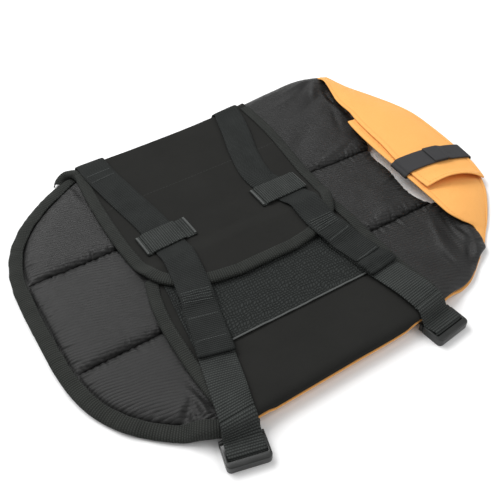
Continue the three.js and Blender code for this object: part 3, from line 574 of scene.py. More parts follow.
@dataclass
class Sheet:
    """A piece of cloth between two faces, each a grid of points in millimetres of the pattern."""

    name: str
    face: Array
    back: Array
    flat: Array | None = None
    round_edge: float = 0.4

    @classmethod
    def laid(cls, name: str, inner: Array, thickness: float | Array) -> "Sheet":
        """Cloth of a thickness whose inner face is a grid.

        Args:
            name: name of the piece.
            inner: grid of points of the inner face.
            thickness: one thickness, or one for each point.

        Returns:
            The sheet, its face on the side of rows crossed with columns.
        """
        if isinstance(thickness, np.ndarray):
            thickness = thickness[..., None]
        return cls(name, inner + normals(inner) * thickness, inner)

    def flat_points(self) -> Array:
        """Place of each point on the flat cloth, in metres, along the rows and across them.

        Returns:
            A grid of places.
        """
        if self.flat is not None:
            return self.flat
        middle = (self.face + self.back) / 2
        along = np.cumsum(np.linalg.norm(np.diff(middle, axis=0), axis=2).mean(axis=1))
        across = np.cumsum(np.linalg.norm(np.diff(middle, axis=1), axis=2).mean(axis=0))
        u, v = np.meshgrid(np.append(0, along), np.append(0, across), indexing="ij")
        return np.stack([u, v], axis=2) / 1000

    def cut_size(self) -> tuple[float, float, float]:
        """Greatest width and length of the flat cloth and its area, in metres.

        Returns:
            The width, the length and the area.
        """
        middle = (self.face + self.back) / 2000
        width = np.linalg.norm(np.diff(middle, axis=1), axis=2).sum(axis=1).max()
        length = np.linalg.norm(np.diff(middle, axis=0), axis=2).sum(axis=0).max()
        a, b = middle[1:, 1:] - middle[:-1, :-1], middle[1:, :-1] - middle[:-1, 1:]
        area = np.linalg.norm(np.cross(a, b), axis=2).sum() / 2
        return float(width), float(length), float(min(area, width * length))

    def border(self) -> Array:
        """Row and column of each point round the edge, in order.

        Returns:
            Pairs of row and column.
        """
        rows, cols = self.face.shape[:2]
        loop = [(0, j) for j in range(cols)]
        loop += [(i, cols - 1) for i in range(1, rows)]
        loop += [(rows - 1, j) for j in range(cols - 2, -1, -1)]
        loop += [(i, 0) for i in range(rows - 2, 0, -1)]
        return np.array(loop)

    def build(self, finish: "Finish", slot: str) -> bpy.types.Object:
        """Makes the closed mesh with a rounded edge.

        Args:
            finish: what the cloth is made of.
            slot: the record's material slot.

        Returns:
            The finished object.
        """
        rows, cols = self.face.shape[:2]
        count = rows * cols
        loop = self.border()
        middle = (self.face + self.back) / 2
        inside = np.stack([np.clip(loop[:, 0], 1, rows - 2), np.clip(loop[:, 1], 1, cols - 2)], axis=1)
        edge = middle[loop[:, 0], loop[:, 1]]
        out = edge - middle[inside[:, 0], inside[:, 1]]
        out /= np.maximum(np.linalg.norm(out, axis=1, keepdims=True), 1e-9)
        depth = np.linalg.norm(self.face - self.back, axis=2)[loop[:, 0], loop[:, 1], None]
        ring = edge + out * depth * self.round_edge
        points = np.vstack([self.face.reshape(-1, 3), self.back.reshape(-1, 3), ring])
        i, j = np.meshgrid(np.arange(rows - 1), np.arange(cols - 1), indexing="ij")
        a = (i * cols + j).ravel()
        quads = [np.stack([a, a + cols, a + cols + 1, a + 1], axis=1)]
        quads.append(np.stack([a, a + 1, a + cols + 1, a + cols], axis=1) + count)
        top = loop[:, 0] * cols + loop[:, 1]
        mid = np.arange(len(loop)) + 2 * count
        for upper, lower in ((top, mid), (mid, top + count)):
            quads.append(np.stack([upper, np.roll(upper, -1), np.roll(lower, -1), lower], axis=1))
        flat = self.flat_points()
        spread = np.vstack([flat.reshape(-1, 2), flat.reshape(-1, 2), flat[loop[:, 0], loop[:, 1]]])
        return make_piece(self.name, in_row(points), np.vstack(quads), spread, finish, slot)


def make_piece(
    name: str, points: Array, faces: Array, spread: Array | None, finish: "Finish", slot: str
) -> bpy.types.Object:
    """Makes an object of the jacket from points in the row frame.

    Args:
        name: name of the piece.
        points: its points, in metres.
        faces: indices of each face's points.
        spread: place of each point on the flat cloth, or None.
        finish: its finish.
        slot: the record's material slot.

    Returns:
        The object, riding on the one body.
    """
    mesh = bpy.data.meshes.new(name)
    mesh.from_pydata(points.tolist(), [], faces.tolist())
    if spread is not None:
        layer = mesh.uv_layers.new(name="cloth")
        corners = np.empty(len(mesh.loops), dtype=np.int32)
        mesh.loops.foreach_get("vertex_index", corners)
        layer.data.foreach_set("uv", spread[corners].astype(np.float32).ravel())
    mesh.polygons.foreach_set("use_smooth", [True] * len(mesh.polygons))
    mesh.update()
    made = bpy.data.objects.new(name, mesh)
    bpy.context.scene.collection.objects.link(made)
    return dress(made, finish, slot)


def dress(made: bpy.types.Object, finish: "Finish", slot: str) -> bpy.types.Object:
    """Gives an object its finish, slot and body.

    Args:
        made: the object.
        finish: its finish.
        slot: the record's material slot.

    Returns:
        The same object.
    """
    made.data.materials.clear()
    made.data.materials.append(finish.material())
    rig.ride(made, "root")
    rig.slot(made, slot)
    LOG.info("%s: %d faces", made.name, len(made.data.polygons))
    return made


def declare(
    sheet: Sheet,
    made: bpy.types.Object,
    held: Hold,
    on: Sequence[str],
    trims: Sequence[bpy.types.Object] = (),
) -> None:
    """Declares a sheet of cloth with the size it was cut to.

    Args:
        sheet: the piece's faces.
        made: its object.
        held: how it lies.
        on: names of what it rests on.
        trims: separate pieces sewn on it.
    """
    width, length, area = sheet.cut_size()
    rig.sheet(
        made, flat=(width, length), held=held.value, rests_on=list(on), area=area, with_pieces=list(trims)
    )


class Graph:
    """Nodes of one procedural material."""

    def __init__(self, name: str) -> None:
        """Starts a material with a plain shader.

        Args:
            name: name of the material.
        """
        self.result = bpy.data.materials.new(name)
        self.result.use_nodes = True
        self.tree = self.result.node_tree
        self.shader = self.tree.nodes["Principled BSDF"]

    def node(self, kind: str, **values: object) -> bpy.types.Node:
        """Adds a node; a value whose name is a socket sets it or links to it, another sets a property.

        Args:
            kind: Blender's name of the node type.
            values: property or socket values, with spaces of socket names as underscores.

        Returns:
            The node.
        """
        made = self.tree.nodes.new(kind)
        for name, value in values.items():
            if hasattr(made, name):
                setattr(made, name, value)
                continue
            self.plug(value, made.inputs[name.replace("_", " ")])
        return made

    def plug(self, value: object, socket: Socket) -> None:
        """Links an output to a socket, or sets the socket to a plain value.

        Args:
            value: an output or a plain value.
            socket: where it goes.
        """
        if isinstance(value, Socket):
            self.tree.links.new(value, socket)
        else:
            socket.default_value = value

    def math(self, operation: str, *values: object) -> Socket:
        """Output of a Math node on up to three values.

        Args:
            operation: what the node does.
            values: outputs or numbers.

        Returns:
            The node's output.
        """
        made = self.tree.nodes.new("ShaderNodeMath")
        made.operation = operation
        for value, socket in zip(values, made.inputs):
            self.plug(value, socket)
        return made.outputs[0]

    def flat(self) -> tuple[Socket, Socket]:
        """Distances on the flat cloth, in metres, along and across.

        Returns:
            The two outputs.
        """
        spread = self.node("ShaderNodeUVMap", uv_map="cloth")
        split = self.node("ShaderNodeSeparateXYZ", Vector=spread.outputs[0])
        return split.outputs[0], split.outputs[1]

    def place(self) -> Socket:
        """Place of the point in the object."""
        return self.node("ShaderNodeTexCoord").outputs["Object"]

    def noise(self, scale: float, detail: float = 2.0, at: Socket | None = None) -> Socket:
        """Uneven value from 0 to 1 with a number of waves to the metre."""
        made = self.node("ShaderNodeTexNoise", Scale=scale, Detail=detail, Vector=at or self.place())
        return made.outputs[0]

    def wave(self, along: Socket, pitch: float, shift: object = 0.0) -> Socket:
        """Rounded ridges from 0 to 1 at a pitch in metres."""
        turn = self.math("MULTIPLY_ADD", along, math.pi / pitch, shift)
        return self.math("ABSOLUTE", self.math("SINE", turn))

    def tint(self, share: object, low: Sequence[float], high: Sequence[float]) -> Socket:
        """Colour between two at a share.

        Args:
            share: share of the second.
            low: first colour.
            high: second colour.

        Returns:
            The colour.
        """
        made = self.node("ShaderNodeMix", data_type="RGBA")
        self.plug(share, made.inputs[0])
        made.inputs[6].default_value = (*low, 1)
        made.inputs[7].default_value = (*high, 1)
        return made.outputs[2]

    def relief(self, height: Socket, depth: float, under: Socket | None = None) -> Socket:
        """Bumped normal for a relief of that depth in metres.

        Args:
            height: the relief.
            depth: its depth.
            under: normal that it is laid on, or None.

        Returns:
            The normal.
        """
        made = self.node("ShaderNodeBump", Height=height, Distance=depth, Strength=1.0)
        if under is not None:
            self.plug(under, made.inputs["Normal"])
        return made.outputs[0]

    def finish(self, **sockets: object) -> bpy.types.Material:
        """Sets the shader's sockets, with the spaces of their names as underscores.

        Args:
            sockets: value or output for each socket.

        Returns:
            The material.
        """
        for name, value in sockets.items():
            self.plug(value, self.shader.inputs[name.replace("_", " ")])
        return self.result


Colour = tuple[float, float, float]


@dataclass(frozen=True)
class Finish:
    """A finish of the jacket, made once and shared."""

    name: str
    colour: Colour
    deep: Colour
    roughness: float = 0.8
    sheen: float = 0.0
    gloss: float = 0.25

    def material(self) -> bpy.types.Material:
        """The material, made on first use."""
        found = bpy.data.materials.get(self.name)
        return found if found else self.make(Graph(self.name))

    def make(self, graph: Graph) -> bpy.types.Material:
        """Builds the nodes on a new material."""
        raise NotImplementedError

    def close(
        self, graph: Graph, colour: object, normal: object, roughness: object = None
    ) -> bpy.types.Material:
        """Sets what all finishes share.

        Args:
            graph: the material's nodes.
            colour: its colour.
            normal: its normal.
            roughness: its roughness, or None for the finish's own.

        Returns:
            The material.
        """
        return graph.finish(
            Base_Color=colour,
            Normal=normal,
            Roughness=self.roughness if roughness is None else roughness,
            Sheen_Weight=self.sheen,
            Sheen_Roughness=0.45,
            Specular_IOR_Level=self.gloss,
        )


@dataclass(frozen=True)
class Woven(Finish):
    """Plain woven cloth with a thread pitch in metres and slubs in its yarn."""

    pitch: float = 0.0007
    depth: float = 0.00006
    mottle: float = 0.35
    cord: float = 0.0

    def make(self, graph: Graph) -> bpy.types.Material:
        """Builds the crossed threads, fine creasing, uneven dye and, where the cloth has cords, painted sheen lines
        along them.

        Args:
            graph: the new material's nodes.

        Returns:
            The material.
        """
        u, v = graph.flat()
        over = graph.math("MULTIPLY", graph.wave(u, self.pitch), graph.wave(v, self.pitch))
        slub = graph.noise(900.0, 3.0)
        soft = graph.noise(38.0, 3.0)
        creased = graph.relief(graph.noise(170.0, 4.0), 0.00035)
        share = graph.math("MULTIPLY_ADD", graph.math("SUBTRACT", soft, 0.5), self.mottle * 2, slub)
        if self.cord:
            wander = graph.math("MULTIPLY", graph.noise(16.0, 2.0), 14.0)
            cords_and_sheen = graph.wave(graph.math("ADD", v, graph.math("MULTIPLY", u, 0.22)), self.cord, wander)
            creased = graph.relief(cords_and_sheen, 0.00022, creased)
            # The cords also lighten the colour along their crests: painted sheen lines, not dye.
            share = graph.math("MULTIPLY_ADD", graph.math("SUBTRACT", cords_and_sheen, 0.5), 0.9, share)
        normal = graph.relief(graph.math("MULTIPLY_ADD", slub, 0.8, over), self.depth, creased)
        rough = graph.math("MULTIPLY_ADD", soft, 0.16, self.roughness - 0.08)
        return self.close(graph, graph.tint(share, self.deep, self.colour), normal, rough)


@dataclass(frozen=True)
class Webbing(Finish):
    """Woven webbing with ribs across it and yarns along it, pitches in metres."""

    rib: float = 0.0027
    yarn: float = 0.0021
    depth: float = 0.00045

    def make(self, graph: Graph) -> bpy.types.Material:
        """Builds ribs that alternate over the yarns, with fuzz, uneven tone and painted shade in the grooves between
        the ribs.

        Args:
            graph: the new material's nodes.

        Returns:
            The material.
        """
        u, v = graph.flat()
        step = graph.math("MULTIPLY", graph.math("FLOOR", graph.math("DIVIDE", u, self.rib)), math.pi / 2)
        ribs = graph.wave(u, self.rib)
        yarns = graph.wave(v, self.yarn, step)
        height = graph.math("MULTIPLY", ribs, graph.math("MULTIPLY_ADD", yarns, 0.6, 0.4))
        fuzz = graph.noise(1400.0, 3.0)
        normal = graph.relief(graph.math("MULTIPLY_ADD", fuzz, 0.35, height), self.depth)
        worn = graph.noise(60.0, 3.0)
        # The colour follows the rib height, so the grooves take the darker colour: painted shade, with the noise
        # adding uneven tone.
        share = graph.math("MULTIPLY_ADD", height, 0.75, graph.math("MULTIPLY", worn, 0.45))
        return self.close(graph, graph.tint(share, self.deep, self.colour), normal)


@dataclass(frozen=True)
class Knit(Finish):
    """Knit-faced foam rubber: matte, with a fine uneven grain."""

    grain: float = 1100.0
    depth: float = 0.00012

    def make(self, graph: Graph) -> bpy.types.Material:
        """Builds the grain, broad dimples and a little lint.

        Args:
            graph: the new material's nodes.

        Returns:
            The material.
        """
        grain = graph.noise(self.grain, 2.0)
        broad = graph.relief(graph.noise(70.0, 2.0), 0.0005)
        normal = graph.relief(grain, self.depth, broad)
        share = graph.math("MULTIPLY_ADD", graph.noise(28.0, 3.0), 0.7, graph.math("MULTIPLY", grain, 0.4))
        return self.close(graph, graph.tint(share, self.deep, self.colour), normal)


@dataclass(frozen=True)
class Pile(Finish):
    """Brushed loop pile pressed into wavy rows."""

    pitch: float = 0.0034
    depth: float = 0.0011

    def make(self, graph: Graph) -> bpy.types.Material:
        """Builds tufts along rows that wander, with painted shade between the tufts.

        Args:
            graph: the new material's nodes.

        Returns:
            The material.
        """
        u, v = graph.flat()
        wander = graph.math("MULTIPLY", graph.noise(95.0, 3.0), 9.0)
        tufts = graph.math("MULTIPLY", graph.wave(u, self.pitch, wander), graph.wave(v, self.pitch, wander))
        fuzz = graph.noise(800.0, 4.0)
        normal = graph.relief(graph.math("MULTIPLY_ADD", fuzz, 0.9, tufts), self.depth)
        # The colour follows the tufts and the fuzz, so the hollows between tufts take the darker colour: painted
        # shade.
        share = graph.math("MULTIPLY_ADD", tufts, 0.7, graph.math("MULTIPLY", fuzz, 0.5))
        return self.close(graph, graph.tint(share, self.deep, self.colour), normal)


@dataclass(frozen=True)
class Moulded(Finish):
    """Moulded plastic with a faint spark grain."""

    grain: float = 2200.0
    depth: float = 0.00002

    def make(self, graph: Graph) -> bpy.types.Material:
        """Builds the grain and an uneven polish.

        Args:
            graph: the new material's nodes.

        Returns:
            The material.
        """
        normal = graph.relief(graph.noise(self.grain, 2.0), self.depth)
        worn = graph.noise(120.0, 3.0)
        rough = graph.math("MULTIPLY_ADD", worn, 0.2, self.roughness - 0.1)
        return self.close(graph, graph.tint(worn, self.deep, self.colour), normal, rough)


LINING = Woven(
    "dark_taffeta", (0.0168, 0.0168, 0.0165), (0.0078, 0.0078, 0.0078),
    roughness=0.37, gloss=0.27, depth=0.0001, cord=0.0031,
)
NYLON = Woven(
    "orange_nylon", (0.89, 0.44, 0.130), (0.83, 0.39, 0.108),
    roughness=0.6, gloss=0.12, pitch=0.0006,
)
RUBBER = Knit(
    "knit_faced_neoprene", (0.0225, 0.0225, 0.0212), (0.015, 0.0152, 0.0143),
    roughness=0.9, gloss=0.04,
)
EDGE_TAPE = Webbing(
    "edge_tape", (0.039, 0.0417, 0.0382), (0.008, 0.0085, 0.008),
    roughness=0.85, gloss=0.1, rib=0.0022, yarn=0.0017, depth=0.0005,
)
FLAT_WEB = Webbing(
    "strap_webbing_flat", (0.030, 0.0328, 0.0316), (0.0055, 0.006, 0.0058),
    roughness=0.8, gloss=0.1, rib=0.0019, yarn=0.0019, depth=0.0005,
)
RIB_WEB = Webbing(
    "strap_webbing_ribbed", (0.052, 0.0575, 0.0545), (0.0035, 0.0038, 0.0037),
    roughness=0.7, gloss=0.18, rib=0.0023, yarn=0.0021, depth=0.0009,
)
LOOPS = Pile(
    "brushed_loops", (0.040, 0.0435, 0.0422), (0.009, 0.0098, 0.0094),
    roughness=0.9, gloss=0.06, pitch=0.0029, depth=0.0008,
)
NECK_TAPE = Webbing(
    "soft_neck_tape", (0.050, 0.050, 0.052), (0.034, 0.034, 0.036),
    roughness=0.85, gloss=0.12, rib=0.0011, yarn=0.0009, depth=0.0001,
)
PLASTIC = Moulded(
    "black_plastic", (0.016, 0.0175, 0.0165), (0.010, 0.0108, 0.0102),
    roughness=0.36, gloss=0.45,
)
DARK_THREAD = Moulded(
    "dark_thread", (0.052, 0.055, 0.052), (0.03, 0.032, 0.03),
    roughness=0.7, gloss=0.15,
)
PALE_THREAD = Moulded(
    "pale_thread", (0.11, 0.12, 0.116), (0.075, 0.082, 0.079),
    roughness=0.6, gloss=0.2,
)
ORANGE_THREAD = Moulded(
    "orange_thread", (0.70, 0.31, 0.08), (0.58, 0.24, 0.06),
    roughness=0.6, gloss=0.15,
)
LIGHT_EDGE = Moulded(
    "pale_selvedge", (0.10, 0.105, 0.102), (0.065, 0.069, 0.067),
    roughness=0.6, gloss=0.15,
)


@dataclass
class Stitching:
    """A run of stitches, each a copy of one modelled stitch."""

    name: str
    length: float = 2.6
    pitch: float = 3.4
    thick: float = 0.5
    across: bool = False

    def single(self) -> tuple[Array, Array]:
        """Models one stitch of unit length and thickness along X.

        Returns:
            Its points and its faces.
        """
        bpy.ops.object.select_all(action="DESELECT")
        bpy.ops.mesh.primitive_uv_sphere_add(segments=6, ring_count=4, radius=0.5)
        ball = bpy.context.object
        bpy.ops.object.mode_set(mode="EDIT")
        bpy.ops.mesh.select_all(action="SELECT")
        bpy.ops.transform.rotate(value=math.pi / 2, orient_axis="Y", center_override=(0, 0, 0))
        bpy.ops.mesh.quads_convert_to_tris()
        bpy.ops.object.mode_set(mode="OBJECT")
        points = np.array([vertex.co[:] for vertex in ball.data.vertices])
        # The primitive lists its faces in another order on each run, so they are put in one order here
        loops = [list(polygon.vertices) for polygon in ball.data.polygons]
        starts = [loop.index(min(loop)) for loop in loops]
        faces = np.array(sorted(loop[k:] + loop[:k] for loop, k in zip(loops, starts)))
        old = ball.data
        bpy.data.objects.remove(ball)
        bpy.data.meshes.remove(old)
        return points, faces

    def sew(self, paths: Sequence[tuple[Array, Array]], finish: Finish, slot: str) -> bpy.types.Object:
        """Sews stitches along paths.

        Args:
            paths: for each run its points and the normals there, in millimetres of the pattern.
            finish: the thread.
            slot: the record's material slot.

        Returns:
            The object that holds all the stitches.
        """
        shape, faces = self.single()
        all_points, all_faces, count = [], [], 0
        for points, ups in paths:
            line = resample(np.hstack([points, ups]), 0.5)
            gone = np.concatenate([[0], np.cumsum(np.linalg.norm(np.diff(line[:, :3], axis=0), axis=1))])
            for start in np.arange(self.pitch / 2, gone[-1], self.pitch):
                ends = [np.array([np.interp(start + k, gone, line[:, n]) for n in range(6)])
                        for k in (-self.length / 2, self.length / 2)]
                run = ends[1][:3] - ends[0][:3]
                size = np.linalg.norm(run)
                if size < 0.3:
                    continue
                x = run / size
                z = (ends[0][3:] + ends[1][3:]) / 2
                z = z - x * (z @ x)
                z /= max(np.linalg.norm(z), 1e-9)
                y = np.cross(z, x)
                run_wise, side_wise = x * size, y * self.thick
                if self.across:
                    run_wise, side_wise = y * self.length, x * self.thick
                basis = np.array([run_wise, side_wise, z * self.thick * 0.8])
                centre = (ends[0][:3] + ends[1][:3]) / 2 + z * self.thick * 0.1
                all_points.append(shape @ basis + centre)
                all_faces.append(faces + count)
                count += len(shape)
        return make_piece(self.name, in_row(np.vstack(all_points)), np.vstack(all_faces), None, finish, slot)


def on_face(grid: Array, i: Array, j: Array, lift: float = 0.0) -> tuple[Array, Array]:
    """Points and normals of a face along rows and columns given as fractions of its grid.

    Args:
        grid: the face's points.
        i: row of each point, which may lie between rows.
        j: column of each point.
        lift: height over the face.

    Returns:
        The points and the normals there.
    """
    up = normals(grid)
    i, j = np.broadcast_arrays(np.asarray(i, dtype=float), np.asarray(j, dtype=float))
    i0 = np.clip(np.floor(i).astype(int), 0, grid.shape[0] - 2)
    j0 = np.clip(np.floor(j).astype(int), 0, grid.shape[1] - 2)
    di, dj = (i - i0)[:, None], (j - j0)[:, None]
    found = []
    for source in (grid, up):
        a = mix(source[i0, j0], source[i0 + 1, j0], di)
        b = mix(source[i0, j0 + 1], source[i0 + 1, j0 + 1], di)
        found.append(mix(a, b, dj))
    return found[0] + found[1] * lift, found[1]


@dataclass
class BackPanel:
    """The quilted back: outer shell, three lined foam channels and the binding of the tail."""

    seam_valley: float = 0.4
    seam_reach: float = 15.0
    seam_crease: float = 3.2
    side_reach: float = 8.0
    side_bulge: float = 3.0
    shell_ledge: float = 1.0
    pad_inset: float = 1.8
    neck_bulge: float = 3.6
    tail_tape: float = 10.5
    tail_ends: tuple[float, float] = (-168.5, 176.0)
    folds: tuple[Fold, ...] = (
        Fold(168, -102, 72, 44, 7, -3.5), Fold(150, -112, 78, 36, 6, 1.6),
        Fold(180, -118, 60, 30, 6, 2.2), Fold(186, 150, 25, 46, 7, -2.6), Fold(160, 166, 10, 40, 6, 1.4),
        Fold(132, 96, 38, 50, 9, -1.6), Fold(140, -30, 55, 40, 10, 0.9),
        Fold(-138, -140, 40, 34, 6, -2.4), Fold(-160, 138, -40, 36, 8, -1.4),
        Fold(177, -119, 52, 46, 4.5, -3.2), Fold(184, -98, 95, 34, 4.5, -3.0),
        Fold(160, -131, 30, 40, 4.5, -1.8),
    )
    creases: tuple[Fold, ...] = (
        Fold(-137, -146, 62, 30, 2.6, 1.8), Fold(-131, -141, 78, 34, 2.4, -2.0),
        Fold(-126, -138, 92, 36, 2.6, 1.6), Fold(-142, -141, 48, 30, 2.8, -1.8),
        Fold(-148, -137, 35, 30, 3.0, 1.2), Fold(-120, -132, 103, 40, 3.2, -1.4),
        Fold(-122, 158, -62, 34, 3.0, -1.8), Fold(-116, 152, -78, 40, 3.4, 1.5),
        Fold(-130, 160, -45, 30, 3.0, 1.3), Fold(-138, 156, -30, 30, 3.6, -1.2),
        Fold(-110, 146, -88, 44, 3.6, -1.3), Fold(176, -96, 80, 34, 3.2, -1.9),
        Fold(158, -92, 66, 40, 3.4, 1.3), Fold(170, -122, 50, 26, 3.0, -1.6),
        Fold(146, -122, 84, 30, 3.0, -1.2), Fold(188, -104, 70, 24, 3.0, 1.4),
        Fold(133, -132, 20, 34, 3.4, 0.9), Fold(196, 166, 55, 34, 3.4, 1.7),
        Fold(204, 146, 72, 34, 3.2, -1.8), Fold(190, 176, 30, 34, 3.2, -1.4),
        Fold(178, 182, 12, 40, 3.4, 1.0), Fold(198, 128, 84, 30, 3.6, 1.2),
        Fold(184, 104, 66, 34, 4.0, -1.0), Fold(150, 60, 14, 60, 3.6, 1.1),
        Fold(168, 62, 25, 30, 3.0, -0.9), Fold(128, -44, 12, 56, 4.4, 1.0),
    )

    def seam_rise(self, away: Array) -> Array:
        """Share of the crown at a distance from a quilt seam."""
        left = 1 - np.clip(away / self.seam_reach, 0, 1)
        return self.seam_valley + (1 - self.seam_valley) * np.sqrt(1 - left**2)

    def channel_plan(self, low: Callable, high: Callable, shares: Array, rows: Array) -> tuple[Array, Array]:
        """Plan points of a channel.

        Args:
            low: line of its near side, from x.
            high: line of its far side, from x.
            shares: shares of the way across it.
            rows: shares of the way from tail to neck.

        Returns:
            The x and y of every point.
        """
        tail, neck = np.full_like(shares, -PATTERN.tail_reach), np.full_like(shares, 170.0)
        for _ in range(6):
            tail = PATTERN.tail_x(mix(low(tail), high(tail), shares))
            neck = PATTERN.neck_x(mix(low(neck), high(neck), shares))
        x = mix(tail[None, :], neck[None, :], rows[:, None])
        return x, mix(low(x), high(x), shares[None, :])

    def side_share(self, away: Array) -> Array:
        """Share of the crown at a distance from the jacket's own edge."""
        return np.sqrt(1 - (1 - np.clip(away / self.side_reach, 0, 1)) ** 2)

    def lining_height(
        self, x: Array, y: Array, away: tuple[Array, Array], open_side: tuple[bool, bool], seed: int
    ) -> Array:
        """Height of the lining over a channel.

        Args:
            x: plan x.
            y: plan y.
            away: distances from the channel's near and far side.
            open_side: whether each of these is the jacket's edge and not a seam.
            seed: which set of gathers.

        Returns:
            The height of each point.
        """
        lowest = PATTERN.shell_under(x, y) + PAD_SEAT + 1.0
        crown = PAD_CROWN + PATTERN.pressed_lift(x, y)
        from_tail = PATTERN.tail_distance(x, y) - self.tail_tape - 1
        from_neck = PATTERN.neck_x(y) - x
        share = np.sqrt(1 - (1 - np.clip(from_tail / 24, 0, 1)) ** 2)
        share = share * (0.3 + 0.7 * self.side_share(from_neck))
        relief = np.zeros_like(x)
        for n in range(2):
            if open_side[n]:
                share = share * self.side_share(away[n])
                continue
            share = share * self.seam_rise(away[n])
            troughs = gathers(x, away[n], seed + 10 * n, 4.6, 6.0, 2.0)
            relief += troughs - self.seam_crease * np.exp(-away[n] / 1.5)
        for fold in self.folds + self.creases:
            relief += fold.relief(x, y)
        around = y * np.hypot(1, 0.6 * PATTERN.tail_slope(y))
        puckers = gathers(around, np.clip(from_tail + 3, 0, None), seed + 40, 6.0, 7.5, 2.6)
        relief += puckers * smooth((from_tail + 3) / 3)
        relief += gathers(y, np.clip(from_neck - 3, 0, None), seed + 50, 11.0, 9.0, 1.3)
        relief += 0.45 * hills(x, y, 38, seed + 60) + 0.16 * hills(x, y, 11, seed + 61)
        full = lowest + (crown - lowest) * share + relief * np.clip(share * 1.4, 0, 1)
        return np.maximum(full, lowest)

    def lining(
        self, name: str, low: Callable, high: Callable, open_side: tuple[bool, bool], seed: int
    ) -> Sheet:
        """Lined foam channel, finer where it shows beyond the flaps.

        Args:
            name: name of the piece.
            low: line of its near side, from x.
            high: line of its far side, from x.
            open_side: whether each of these is the jacket's edge and not a seam.
            seed: which set of gathers.

        Returns:
            The channel.
        """
        neck = 1 - 0.21 * (1 - np.linspace(0, 1, 84)) ** 1.25
        rows = np.concatenate([np.linspace(0, 0.3, 104), np.linspace(0.3, 0.79, 30)[1:], neck[1:]])
        even = np.linspace(0, 1, 92)
        shares = mix(even, 0.5 - 0.5 * np.cos(np.pi * even), 0.55)
        x, y = self.channel_plan(low, high, shares, rows)
        away = (y - low(x), high(x) - y)
        y = y + np.where(shares == 0, GAP / 2, 0)[None, :] - np.where(shares == 1, GAP / 2, 0)[None, :]
        height = self.lining_height(x, y, away, open_side, seed)
        out_x = x + self.neck_bulge * np.sin(np.pi * self.side_share(PATTERN.neck_x(y) - x))
        out_y = y + 0.0
        for n, outwards in ((0, -1), (1, 1)):
            if open_side[n]:
                out_y += outwards * self.side_bulge * np.sin(np.pi * self.side_share(away[n]))
        face = np.stack([out_x, out_y, height], axis=2)
        back = np.stack([x, y, PATTERN.shell_under(x, y) + PAD_SEAT], axis=2)
        flat = np.stack([x, y], axis=2) / 1000
        return Sheet(name, face, back, flat, round_edge=0.25)

    def shell(self) -> Sheet:
        """Outer cloth under the channels, a little wider than they are.

        Returns:
            The outer cloth.
        """
        rows = np.linspace(0, 1, 110)
        even = np.linspace(0, 1, 90)
        shares = mix(even, 0.5 - 0.5 * np.cos(np.pi * even), 0.5)
        x, y = self.channel_plan(
            lambda v: PATTERN.near(v) - self.shell_ledge,
            lambda v: PATTERN.far(v) + self.shell_ledge,
            shares,
            rows,
        )
        under = PATTERN.shell_under(x, y)
        face = np.stack([x, y, under + SHELL_CLOTH], axis=2)
        back = np.stack([x, y, under], axis=2)
        return Sheet("outer_shell", face, back, np.stack([x, y], axis=2) / 1000)

    def tail_binding(self) -> Sheet:
        """Tape folded round the tail edge, a little wavy where it was stretched round the corners.

        Returns:
            The tape.
        """
        even = np.linspace(0, 1, 420)
        y = mix(self.tail_ends[0], self.tail_ends[1], mix(even, 0.5 - 0.5 * np.cos(np.pi * even), 0.8))
        x = PATTERN.tail_x(y) - GAP
        slope = PATTERN.tail_slope(y) * np.sign(y)
        size = np.hypot(1, slope)
        out_x, out_y = -1 / size, slope / size
        path = np.concatenate([[0], np.cumsum(np.hypot(np.diff(x), np.diff(y)))])
        section = [
            (-self.tail_tape, 1.0), (-9.5, 1.0), (-8, 1.0), (-6, 1.0), (-3.5, 1.0), (-1.5, 1.0), (0, 0.97),
            (0.9, 0.83), (1.3, 0.6), (1.3, 0.35), (0.8, 0.12), (0, 0.02), (-4, 0.0), (-8, 0.0),
            (-self.tail_tape, 0.0),
        ]
        grid = np.empty((len(y), len(section), 3))
        for k, (out, level) in enumerate(section):
            wavy = 0.5 * hills(path, out, 10, 71) if level > 0.5 else 0.0
            px, py = x + out_x * (out + wavy), y + out_y * (out + wavy)
            under = PATTERN.shell_under(px, py)
            ramp = GAP + 0.25 * PATTERN.buckle_lift(px, py) * smooth((py + 168) / 6)
            low = np.maximum(under - ramp, TAPE)
            top = under + PAD_SEAT + 1.0 + ramp + 2.5 * GAP
            swell = gather = 0.0
            if out < 0 and level == 1.0:
                swell = 0.9 * math.sin(math.pi * min(-out / self.tail_tape, 1))
            if level > 0.5:
                gather = 0.35 * hills(path, out * 0.3, 4.2, 72) + 0.3 * hills(path, 0, 15, 73)
            grid[:, k] = np.stack([px, py, mix(low, top, level) + swell + gather], axis=1)
        return Sheet.laid("tail_binding_tape", grid, TAPE)

    def tape_end(self) -> Sheet:
        """End of the flap's tape, turned over the corner and down to the tail tape, with a hollow beneath.

        Returns:
            The end of the tape.
        """
        line = resample(np.array([
            (-99.5, 158, 15.4), (-100.5, 166, 15.2), (-103, 172.5, 14.2), (-107.5, 176.5, 12.4),
            (-113, 177.5, 10.6), (-118, 175.5, 8.4), (-121.5, 171.5, 6.0),
        ]), 0.8)
        run = np.gradient(line, axis=0)
        side = np.stack([run[:, 1], -run[:, 0], 0 * run[:, 0]], axis=1)
        side /= np.linalg.norm(side, axis=1, keepdims=True)
        k = np.linspace(-6.5, 6.5, 18)
        grid = line[:, None, :] + side[:, None, :] * (5.4 * np.sin(k / 4.6))[None, :, None]
        along = np.arange(len(line))[:, None] * 0.8
        grid[..., 2] += 0.8 - 0.13 * k[None, :] ** 2 + 0.7 * hills(along, k[None, :], 5.0, 75)
        return Sheet.laid("flap_tape_end", grid, TAPE)

